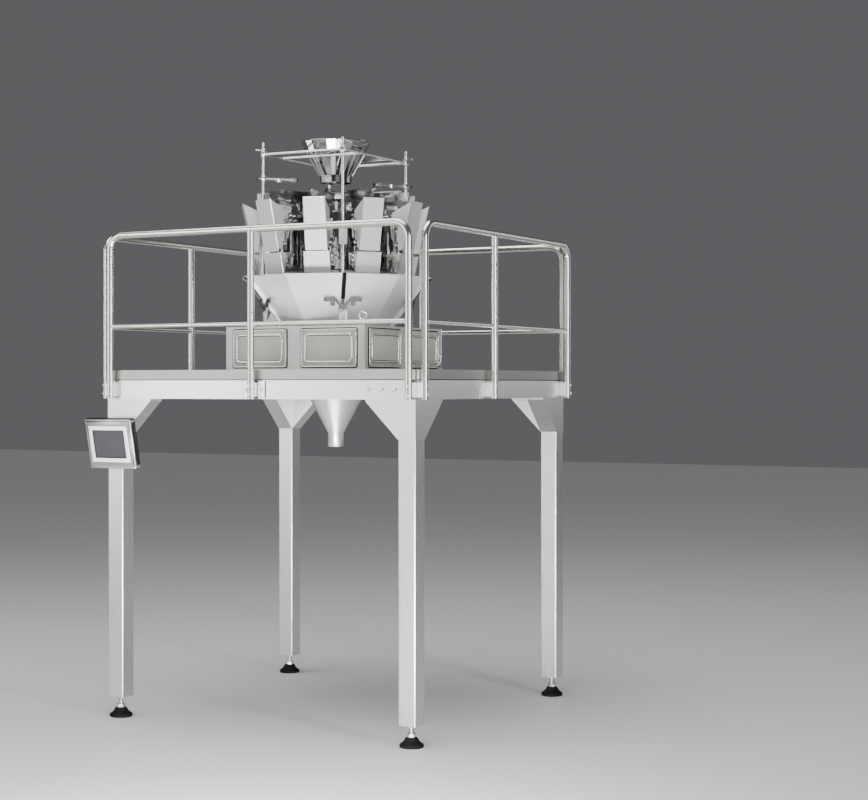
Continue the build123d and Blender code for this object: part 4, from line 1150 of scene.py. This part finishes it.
@dataclass
class Heads:
    """What shows on and between the ten heads: drive housings, springs, pin heads and folded hopper edges."""

    count: int = 10
    first: float = 18.0
    housing_reach: float = 0.372
    housing_side: float = 0.096
    housing_edge: float = 0.024
    cap: Rings = ((0.030, 0), (0.030, 0.003), (0.027, 0.005))
    cap_drop: float = 0.060
    wire: float = 0.0012
    coil: float = 0.0058
    hook_share: float = 1.2
    pitch: float = 0.0042
    spring_steps: int = 9
    hook_chamfer: float = 0.0002
    # springs of the feed and weigh gates: distance to either side, radius and level of both ends
    springs: tuple[tuple[float, Pair, Pair], ...] = (
        (0.0715, (0.392, 2.6905), (0.410, 2.590)), (0.0825, (0.379, 2.503), (0.392, 2.447)))
    pin_radius: float = 0.0062
    # pins of levers and links: radius, distance to either side and level
    pins: tuple[Size, ...] = ((0.432, 0.070, 2.6897), (0.384, 0.066, 2.6997), (0.425, 0.069, 2.6447),
                              (0.421, 0.069, 2.5717), (0.422, 0.081, 2.5017), (0.372, 0.077, 2.5117),
                              (0.415, 0.080, 2.4757), (0.411, 0.080, 2.4527))
    # fronts of the feed and weigh hoppers: half width less the fold, radius and level of top and bottom
    fronts: tuple[tuple[float, Pair, Pair], ...] = (
        (0.0602, (0.5235, 2.808), (0.4640, 2.529)), (0.0712, (0.4625, 2.521), (0.4386, 2.410)))
    fold_radius: float = 0.0019
    fold_chamfer: float = 0.0003
    # rolled edges of a feeder pan: radius of their inner and outer ends, distance to either side
    pan_edge: Size = (0.207, 0.441, 0.049)
    roll_radius: float = 0.0022
    roll_chamfer: float = 0.0004

    def build(self) -> None:
        """Builds the repeated pieces on all heads."""
        axis = axis_of_weigher()
        places = [spoke(axis, self.first + 360 / self.count * index) for index in range(self.count)]
        self.housings(places)
        springs, pins = [], []
        for side in (-1, 1):
            springs += [self.spring(*(Vector((radius, side * across, level)) for radius, level in ends))
                        for across, *ends in self.springs]
            pins += [facing(Vector((radius, side * across, level)), Vector((0, side, 0)))
                     for radius, across, level in self.pins]
        self.edges(places)
        seat(repeat(merge(springs), places), "gate_springs", "bright")
        seat(repeat(repeat(screw(self.pin_radius, SMALL), pins), places), "gate_pin_heads", "bolt")

    def edges(self, places: list[Matrix]) -> None:
        """Builds the folded edges of the hopper fronts and the rolled edges of the feeder pans."""
        folds = []
        for half, (top_radius, top), (bottom_radius, bottom) in self.fronts:
            corners = [(Vector((bottom_radius, side * half, bottom)), Vector((top_radius, side * half, top)))
                       for side in (-1, 1)]
            for ends in (*corners, (corners[0][1], corners[1][1])):
                folds.append(bar(*ends, self.fold_radius, THIN, self.fold_chamfer))
        seat(repeat(merge(folds), places), "hopper_folded_edges", "bright")
        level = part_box("feeder_pans")[1].z - SUNK
        inner, outer, across = self.pan_edge
        rolls = [bar(Vector((inner, side * across, level)), Vector((outer, side * across, level)),
                     self.roll_radius, THIN, self.roll_chamfer) for side in (-1, 1)]
        seat(repeat(merge(rolls), places), "pan_rolled_edges", "bright")

    def housings(self, places: list[Matrix]) -> None:
        """Builds the drive housings with rounded fronts and a shaft cap on each."""
        low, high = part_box("drive_boxes")
        middle = Vector((self.housing_reach - self.housing_side / 2, 0, (low.z + high.z) / 2))
        body = block((self.housing_side, self.housing_side, high.z - low.z), middle, self.housing_edge, 5)
        cap = moved(ring_stack(self.cap, FINE),
                    facing(Vector((self.housing_reach - SUNK, 0, high.z - self.cap_drop)), RIGHT))
        housings = seat(repeat(body, places), "drive_housings", "dark_mirror")
        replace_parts(housings, "drive_boxes")
        seat(repeat(cap, places), "drive_shaft_caps", "bright")

    def spring(self, start: Vector, end: Vector) -> Piece:
        """Builds a coil spring with a hook at each end.

        Args:
            start: where its upper end hooks on.
            end: where its lower end hooks on.

        Returns:
            The spring.
        """
        run = end - start
        hook = self.coil * self.hook_share
        turns = int((run.length - 2 * hook) / self.pitch)
        coil = open_circle(self.wire, 5, (self.coil, 0, 0), (math.pi / 2, 0, 0))
        wind = coil.modifiers.new("wind", "SCREW")
        wind.axis = "Z"
        wind.steps = self.spring_steps
        wind.iterations = turns
        wind.screw_offset = self.pitch
        wind.use_normal_calculate = True
        bpy.ops.object.modifier_apply(modifier=wind.name)
        length = turns * self.pitch
        ends = [bar(Vector((0, 0, level)), Vector((0, 0, level + hook)), self.wire, HEXAGON, self.hook_chamfer)
                for level in (-hook, length)]
        coil = merge([coil, *ends])
        smooth(coil, WIRE_CREASE)
        return moved(coil, facing(start + run.normalized() * hook, run))


@dataclass
class RoundBodies:
    """Smooth drum, dish and funnel and the folded infeed cone in place of the CAD ones."""

    vertices: int = 96
    # drum and dish edge, as distances in from the radius and up from the bottom, or down from the top
    drum_foot: Rings = ((0.006, 0), (0, 0.006), (0, 0.12), (0.002, 0.121), (0.002, 0.124), (0, 0.125))
    drum_head: Rings = ((0, 0.012), (0.004, 0.004), (0.012, 0))
    dish_edge: Rings = ((0.003, 0), (0, 0.002), (0, 0.005))
    # the dish above its edge, as shares of its radius and height
    dish_shares: Rings = ((0.93, 0.16), (0.7, 0.43), (0.4, 0.74), (0.15, 0.95), (0.04, 1))
    drive_flange: Rings = ((1, 0), (1, 0.02), (0.86, 0.026))
    drive_sides: int = 64
    folds: int = 24
    fold_radius: float = 0.0019
    fold_chamfer: float = 0.0004
    fold_angle: float = 10.0
    wall: float = 0.003
    # the infeed cone's outside from its throat up, then its rim from the top down
    throat: Rings = ((0.090, 0), (0.090, 0.029), (0.0945, 0.031), (0.0945, 0.036), (0.090, 0.038), (0.163, 0.163),
                     (0.1655, 0.165))
    rim: Rings = ((0.191, -0.004), (0.196, -0.004), (0.196, 0), (0.1915, 0))
    fold_line: tuple[Pair, Pair] = ((0.0905, 0.039), (0.1635, 0.1625))
    funnel_wall: float = 0.004
    funnel_radius: float = 0.350
    flange_radius: float = 0.371
    spout_radius: float = 0.044
    spout_height: float = 0.075
    # the spout's bead, as distances out from the spout and up from its end
    spout_bead: Rings = ((-0.001, 0.001), (0.003, 0.002), (0.003, 0.006), (-0.001, 0.008))
    bead_sides: int = 48

    def build(self) -> None:
        """Builds each round body."""
        axis = axis_of_weigher()
        radius, low, high = self.measure("drum")
        rings = [(radius - inset, low + rise) for inset, rise in self.drum_foot]
        rings += [(radius - inset, high - drop) for inset, drop in self.drum_head]
        drum = ring_stack(rings, self.vertices, axis)
        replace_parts(seat(drum, "drum_body", "dark_mirror"), "drum")
        radius, low, high = self.measure("dispersion_cone")
        rings = [(radius - inset, low + rise) for inset, rise in self.dish_edge]
        rings += [(radius * share, low + (high - low) * up) for share, up in self.dish_shares]
        dish = ring_stack(rings, self.vertices, axis)
        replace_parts(seat(dish, "dispersion_dish", "mirror"), "dispersion_cone")
        radius, low, high = self.measure("cone_drive")
        rings = [(radius * share, low + rise) for share, rise in self.drive_flange]
        drive = ring_stack([*rings, (rings[-1][0], high)], self.drive_sides, axis)
        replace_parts(seat(drive, "cone_drive_body", "mirror"), "cone_drive")
        self.infeed(axis)
        self.funnel(axis)

    @staticmethod
    def measure(node: str) -> tuple[float, float, float]:
        """Returns the radius, bottom and top of a round CAD node."""
        low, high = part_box(node)
        return (high.x - low.x) / 2, low.z, high.z

    def infeed(self, axis: Vector) -> None:
        """Builds the infeed cone of folded facets with its rim, its band, the bead above its throat and its folds."""
        low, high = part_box("infeed_cone")
        cone = shell_stack([*raised(self.throat, low.z), *raised(self.rim, high.z)], self.folds, self.wall, axis)
        smooth(cone, self.fold_angle)
        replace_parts(seat(cone, "infeed_cone_sheet", "spun"), "infeed_cone")
        ends = [Vector((radius, 0, level)) for radius, level in raised(self.fold_line, low.z)]
        fold = bar(*ends, self.fold_radius, THIN, self.fold_chamfer)
        turns = [spoke(axis, 360 / self.folds * index) for index in range(self.folds)]
        seat(repeat(fold, turns), "cone_fold_lines", "bright")

    def funnel(self, axis: Vector) -> None:
        """Builds the discharge funnel with the bead on its spout."""
        low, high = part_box("discharge_funnel")
        shoulder = high.z - self.funnel_wall - SUNK
        rings = [(self.spout_radius, low.z), (self.spout_radius, low.z + self.spout_height),
                 (self.funnel_radius, shoulder), (self.flange_radius, shoulder), (self.flange_radius, high.z - SUNK)]
        cone = shell_stack(rings, self.vertices, self.funnel_wall, axis)
        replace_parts(seat(cone, "funnel_sheet_cone", "funnel"), "discharge_funnel")
        rings = [(self.spout_radius + out, low.z + rise) for out, rise in self.spout_bead]
        seat(ring_stack(rings, self.bead_sides, axis), "spout_bead", "weld")


@dataclass
class UpperFrame:
    """Rods, bars, clamps and sensors above the heads."""

    rod_radius: float = 0.008
    bar_radius: float = 0.007
    clamp: Size = (0.034, 0.034, 0.030)
    clamp_edge: float = 0.005
    clamp_cap: Rings = ((0.013, 0.015), (0.0135, 0.016), (0.0135, 0.027), (0.012, 0.029))
    # level of a clamp's handle, then handle and knob as radial bars: both ends, radius, sides, chamfer
    handle_level: float = 0.022
    handle: tuple[float, ...] = (0.010, 0.040, 0.003, SMALL)
    knob: tuple[float, ...] = (0.036, 0.046, 0.0065, WIRE, 0.002)
    # a sensor on its arm along the +X spoke, its bars in the same way as the handle
    sensor_azimuths: tuple[int, int] = (144, 324)
    sensor_clamp: Size = (0.030, 0.030, 0.024)
    sensor_clamp_edge: float = 0.004
    sensor_clamp_place: float = 0.435
    sensor_collar: Rings = ((0.012, 0.012), (0.012, 0.020), (0.0105, 0.022))
    sensor_handle: tuple[float, ...] = (0.447, 0.469, 0.003, SMALL)
    sensor_knob: tuple[float, ...] = (0.465, 0.475, 0.007, THIN, 0.002)
    sensor_arm: tuple[float, ...] = (0.423, 0.278, 0.007)
    sensor_cross: Size = (0.022, 0.020, 0.030)
    sensor_cross_edge: float = 0.003
    sensor_cross_place: float = 0.345
    sensor_nut: tuple[float, ...] = (0.284, 0.276, 0.0135, HEXAGON)
    sensor_barrel: tuple[float, ...] = (0.279, 0.241, 0.012, FINE, 0.0015)
    sensor_tip: tuple[float, ...] = (0.242, 0.231, 0.0112, FINE, 0.002)

    def build(self) -> None:
        """Builds the frame in place of its CAD nodes."""
        axis = axis_of_weigher()
        low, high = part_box("cone_rods")
        corners = [Vector((x, y, 0)) for x, y in inset_corners("cone_rods", self.rod_radius)]
        rods = [bar(corner + UP * low.z, corner + UP * high.z, self.rod_radius) for corner in corners]
        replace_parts(seat(merge(rods), "frame_rods", "rail"), "cone_rods")
        raise_to = UP * middle_of("frame_bars").z
        # corner numbers of the front, rear, left and right bar
        bars = [bar(corners[first] + raise_to, corners[last] + raise_to, self.bar_radius)
                for first, last in ((0, 2), (1, 3), (0, 1), (2, 3))]
        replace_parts(seat(merge(bars), "frame_cross_bars", "rail"), "frame_bars")
        low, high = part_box("cradle_bars")
        cradles = [bar(Vector((low.x, y, raise_to.z)), Vector((high.x, y, raise_to.z)), self.bar_radius)
                   for y in (low.y + self.bar_radius, high.y - self.bar_radius)]
        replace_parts(seat(merge(cradles), "cone_cradle_bars", "rail"), "cradle_bars")
        self.clamps([(corner + raise_to, corner - axis) for corner in corners])
        self.sensors(axis, middle_of("sensor_arms").z)

    def clamps(self, spots: list[tuple[Vector, Vector]]) -> None:
        """Builds the cross clamps with their screws and handles.

        Args:
            spots: the place of each clamp and its direction away from the weigher's axis.
        """
        body = block(self.clamp, Vector(), self.clamp_edge, 3)
        cap = ring_stack(self.clamp_cap, ROUND)
        handle = radial_bar(self.handle_level, *self.handle)
        knob = radial_bar(self.handle_level, *self.knob)
        places = [Matrix.Translation(place) @ Matrix.Rotation(math.atan2(out.y, out.x), 4, "Z")
                  for place, out in spots]
        clamps = seat(repeat(merge([body, cap, handle, knob]), places), "cross_clamps", "bolt")
        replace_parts(clamps, "rod_clamps")

    def sensors(self, axis: Vector, level: float) -> None:
        """Builds the two level sensors on their arms.

        Args:
            axis: the weigher's axis on the floor.
            level: the arms' height.
        """
        spots = [spoke(axis, azimuth) for azimuth in self.sensor_azimuths]
        clamp = block(self.sensor_clamp, Vector((self.sensor_clamp_place, 0, level)), self.sensor_clamp_edge, 3)
        collar = ring_stack(raised(self.sensor_collar, level), ROUND, Vector((self.sensor_clamp_place, 0, 0)))
        handle, knob, arm, nut = (radial_bar(level, *measures) for measures in (
            self.sensor_handle, self.sensor_knob, self.sensor_arm, self.sensor_nut))
        cross = block(self.sensor_cross, Vector((self.sensor_cross_place, 0, level)), self.sensor_cross_edge)
        holders = merge([clamp, collar, handle, arm, cross, nut])
        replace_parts(seat(repeat(holders, spots), "sensor_holders", "rail"), "sensor_arms")
        seat(repeat(knob, spots), "sensor_clamp_knobs", "black")
        barrel = radial_bar(level, *self.sensor_barrel)
        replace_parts(seat(repeat(barrel, spots), "sensor_barrels", "bolt"), "sensor_heads")
        seat(repeat(radial_bar(level, *self.sensor_tip), spots), "sensor_faces", "black")


@dataclass(frozen=True)
class PanelFrame:
    """A flat frame on the panel's front."""

    name: str
    finish_name: str
    slot: str
    size: Pair
    rim: float
    out: float
    edge: float
    window: float | None = None


@dataclass
class OperatorPanel:
    """Case with its lip, hood and side seal, bezel, screen frame, gasket and mask, and the bracket's fasteners."""

    lean: float = 12.0
    pivot_inset: float = 0.060
    case: Size = (0.300, 0.267, 0.046)
    case_edge: float = 0.004
    back_out: float = 0.022
    # the lip's height and depth and how much narrower than the case it is
    lip: Size = (0.012, 0.008, 0.004)
    # width of hood and side seal, and how much shallower, shorter or further back than the case each is
    hood: float = 0.012
    hood_cut: float = 0.004
    hood_back: float = 0.001
    seal_cut: Pair = (0.030, 0.012)
    seal_back: float = 0.004
    soft_edge: float = 0.003
    proud: float = 0.001
    bezel: Pair = (0.280, 0.247)
    gasket_border: float = 0.006
    mask_border: float = 0.002
    screen: Pair = (0.206, 0.152)
    screen_frame: Pair = (0.252, 0.196)
    dome: Rings = ((0.011, 0), (0.011, 0.005), (0.009, 0.009), (0.005, 0.012), (0.001, 0.013))
    plate_screw_radius: float = 0.007
    plate_screw_inset: float = 0.016
    plate_screw_rise: float = 0.035
    plate_thickness: float = 0.005

    def plane(self) -> Matrix:
        """Matrix of the panel's own plane: X across, Y up the panel, Z out of its front."""
        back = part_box("panel_bracket")[1].y
        pivot = Vector((middle_of("panel_lug").x, back - self.pivot_inset, middle_of("panel_bracket").z))
        cosine, sine = math.cos(math.radians(self.lean)), math.sin(math.radians(self.lean))
        turn = Matrix(((1, 0, 0, 0), (0, -sine, -cosine, 0), (0, cosine, -sine, 0), (0, 0, 0, 1)))
        return Matrix.Translation(pivot) @ turn

    def build(self) -> None:
        """Builds the panel on its body and the pivot's fasteners on the machine."""
        plane = self.plane()
        width, height, depth = self.case
        middle, front = self.back_out + depth / 2, self.back_out + depth
        case = block(self.case, Vector((0, 0, middle)), self.case_edge, 3)
        lip_height, lip_depth, narrower = self.lip
        lip = block((width - narrower, lip_height, lip_depth),
                    Vector((0, (lip_height - height) / 2, front + self.proud)), self.soft_edge, 3)
        shell = self.place(merge([case, lip]), plane, "panel_case_shell", "panel_steel", "panel_case")
        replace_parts(shell, "panel_housing")
        edge = self.proud - self.hood / 2
        hood = block((width + self.proud, self.hood, depth - self.hood_cut),
                     Vector((0, height / 2 + edge, middle - self.hood_back)), self.soft_edge)
        self.place(hood, plane, "panel_hood", "panel_top", "black_plastic")
        seal = block((self.hood, height - self.seal_cut[0], depth - self.seal_cut[1]),
                     Vector((width / 2 + edge, 0, middle - self.seal_back)), self.soft_edge)
        self.place(seal, plane, "panel_side_seal", "panel_top", "black_plastic")
        laid = Matrix.Translation((0, 0, front)) @ Matrix.Rotation(-math.pi / 2, 4, "X")
        pieces = [self.place(moved(frame_ring(*item.size, item.rim, item.out, item.edge, item.window), laid), plane,
                             item.name, item.finish_name, item.slot) for item in self.frames()]
        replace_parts(pieces[0], "panel_bezel")
        self.pivot_fasteners()

    def frames(self) -> list[PanelFrame]:
        """Lists the frames on the case's front: bezel, screen frame, gasket and mask."""
        across, window = self.screen
        bezel_rim, screen_rim = (self.bezel[0] - across) / 2, (self.screen_frame[0] - across) / 2
        gasket, mask = ((size[0] + border, size[1] + border) for size, border in (
            (self.bezel, self.gasket_border), (self.screen, self.mask_border)))
        return [PanelFrame("bezel_frame", "panel_steel", "panel_frame", self.bezel, bezel_rim, 0.005, 0.0012, window),
                PanelFrame("screen_frame", "bezel", "panel_frame", self.screen_frame, screen_rim, 0.0065, 0.0007,
                           window),
                PanelFrame("bezel_gasket", "black", "black_plastic", gasket, 0.005, 0.0015, 0.0005),
                PanelFrame("screen_mask", "black", "black_plastic", mask, 0.004, 0.0068, 0.0005)]

    def pivot_fasteners(self) -> None:
        """Builds the dome nut of the pivot and the bolts of the bracket's plate, which stay on the leg."""
        middle = middle_of("panel_knob")
        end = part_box("panel_knob")[1].x - SUNK
        dome = moved(ring_stack(self.dome, ROUND), facing(Vector((end, middle.y, middle.z)), RIGHT))
        low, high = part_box("panel_bracket")
        places = [facing(Vector((low.x + self.plate_screw_inset, high.y - self.plate_thickness, middle.z + rise)),
                         FORWARD) for rise in (-self.plate_screw_rise, self.plate_screw_rise)]
        bolts = repeat(hex_bolt(self.plate_screw_radius), places)
        seat(merge([dome, bolts]), "panel_bracket_bolts", "bolt")

    @staticmethod
    def place(piece: Piece, plane: Matrix, name: str, finish_name: str, slot: str) -> Piece:
        """Lays a piece modelled in the panel's plane onto the panel.

        Args:
            piece: the piece, in the plane's own coordinates.
            plane: the plane's matrix.
            name: the piece's name.
            finish_name: key of its finish.
            slot: the record's material slot; not used.

        Returns:
            The piece on the panel's body.
        """
        settle(piece)
        return seat(moved(piece, plane), name, finish_name, PANEL)


@dataclass(frozen=True)
class SoftLight:
    """A rectangular soft light that stands at a place and faces a point."""

    name: str
    place: Size
    aim: Size
    size: Pair
    watts: float

    def build(self) -> None:
        """Adds the light, which the camera doesn't see."""
        lamp = bpy.data.lights.new(self.name, "AREA")
        lamp.shape = "RECTANGLE"
        lamp.size, lamp.size_y = self.size
        lamp.energy = self.watts
        light = bpy.data.objects.new(self.name, lamp)
        light.location = self.place
        light.rotation_euler = (Vector(self.aim) - Vector(self.place)).to_track_quat("-Z", "Y").to_euler()
        light.visible_camera = False
        bpy.context.collection.objects.link(light)


@dataclass
class Studio:
    """Pale floor, soft lights and the camera at the photograph's viewing angle."""

    camera_from_platform: Size = (5.197, -8.713, 1.803)
    camera_turn: float = 27.94
    focal_px: float = 1802.09
    photo_width_px: float = 868.0
    photo_height_px: float = 800.0
    horizon_px: float = 384.6
    sensor_mm: float = 36.0
    floor_size: float = 60.0
    floor_roughness: float = 0.55
    floor_cloud: float = 1 / 0.6
    floor_shade: float = 0.95
    sun_strength: float = 0.5
    sun_angle: float = 70.0
    sun_tilt: Pair = (25.0, -15.0)
    world_strength: float = 0.75
    lights: tuple[SoftLight, ...] = (
        SoftLight("front_softbox", (-5.6, -8.8, 3.2), (-0.4, 0.0, 1.7), (6.5, 5.0), 200.0),
        SoftLight("key_strip", (-4.1, -8.0, 2.4), (0.2, 0.0, 1.6), (1.3, 4.6), 34.0),
        SoftLight("beam_strip", (-5.7, -8.0, 2.4), (-0.5, 0.0, 2.0), (1.2, 3.6), 60.0),
        SoftLight("camera_softbox", (6.6, -10.8, 2.6), (0.0, 0.0, 2.0), (5.5, 4.0), 90.0),
        SoftLight("top_softbox", (-0.5, -1.0, 7.5), (0.0, 0.0, 1.0), (6.0, 6.0), 400.0),
        SoftLight("low_softbox", (1.5, -3.3, 0.3), (0.0, -0.3, 2.4), (2.6, 1.0), 430.0),
        SoftLight("side_softbox", (6.4, 8.6, 3.6), (0.4, 0.0, 2.2), (5.0, 4.0), 58.0),
        SoftLight("right_strip", (7.6, -3.6, 2.6), (0.0, 0.0, 2.0), (0.8, 4.5), 300.0),
        SoftLight("left_strip", (-7.4, -1.4, 2.6), (0.0, 0.0, 2.0), (0.6, 4.5), 70.0))

    def build(self) -> None:
        """Builds the floor, the lights and the camera."""
        self.floor()
        for light in self.lights:
            light.build()
        self.room_light()
        self.camera()

    def floor(self) -> None:
        """Builds the floor with its own faintly cloudy finish."""
        deselect()
        bpy.ops.mesh.primitive_plane_add(size=self.floor_size, location=(0, 0, 0))
        floor = bpy.context.object
        floor.name = "studio_floor"
        shading = new_material("pale_floor", Roughness=self.floor_roughness)
        base = linear(Hex.FLOOR)
        clouds = shading.noise(self.floor_cloud, 3.0)
        shading.feed("Base Color", shading.mix(clouds, base, dimmed(base, self.floor_shade)))
        floor.data.materials.append(shading.material)

    def room_light(self) -> None:
        """Adds the wide, weak sun and the grey room around the machine."""
        sun = bpy.data.lights.new("room_light", "SUN")
        sun.energy = self.sun_strength
        sun.angle = math.radians(self.sun_angle)
        light = bpy.data.objects.new("room_light", sun)
        light.rotation_euler = (*(math.radians(tilt) for tilt in self.sun_tilt), 0)
        bpy.context.collection.objects.link(light)
        world = bpy.data.worlds.new("studio_room")
        world.use_nodes = True
        background = world.node_tree.nodes["Background"]
        background.inputs["Color"].default_value = linear(Hex.WORLD)
        background.inputs["Strength"].default_value = self.world_strength
        bpy.context.scene.world = world

    def camera(self) -> None:
        """Adds the camera that was fitted to the photograph, placed from the middle of the platform."""
        lens = bpy.data.cameras.new("photo_camera")
        lens.sensor_width = self.sensor_mm
        lens.lens = self.focal_px / self.photo_width_px * self.sensor_mm
        lens.shift_y = -(self.photo_height_px / 2 - self.horizon_px) / self.photo_width_px
        camera = bpy.data.objects.new("photo_camera", lens)
        platform = middle_of("legs")
        platform.z = 0
        camera.location = platform + Vector(self.camera_from_platform)
        camera.rotation_euler = (math.pi / 2, 0, math.radians(self.camera_turn))
        bpy.context.collection.objects.link(camera)
        bpy.context.scene.camera = camera


def main() -> None:
    """Builds every sub-assembly in order."""
    logging.basicConfig(level=logging.INFO, format="%(message)s")
    Studio().build()
    dress_cad()
    for assembly in (GuardRails(), Platform(), LevellingFeet(), WeigherBase(), Chutes(), Heads(), RoundBodies(),
                     UpperFrame(), OperatorPanel()):
        assembly.build()


if __name__ == "__main__":
    main()
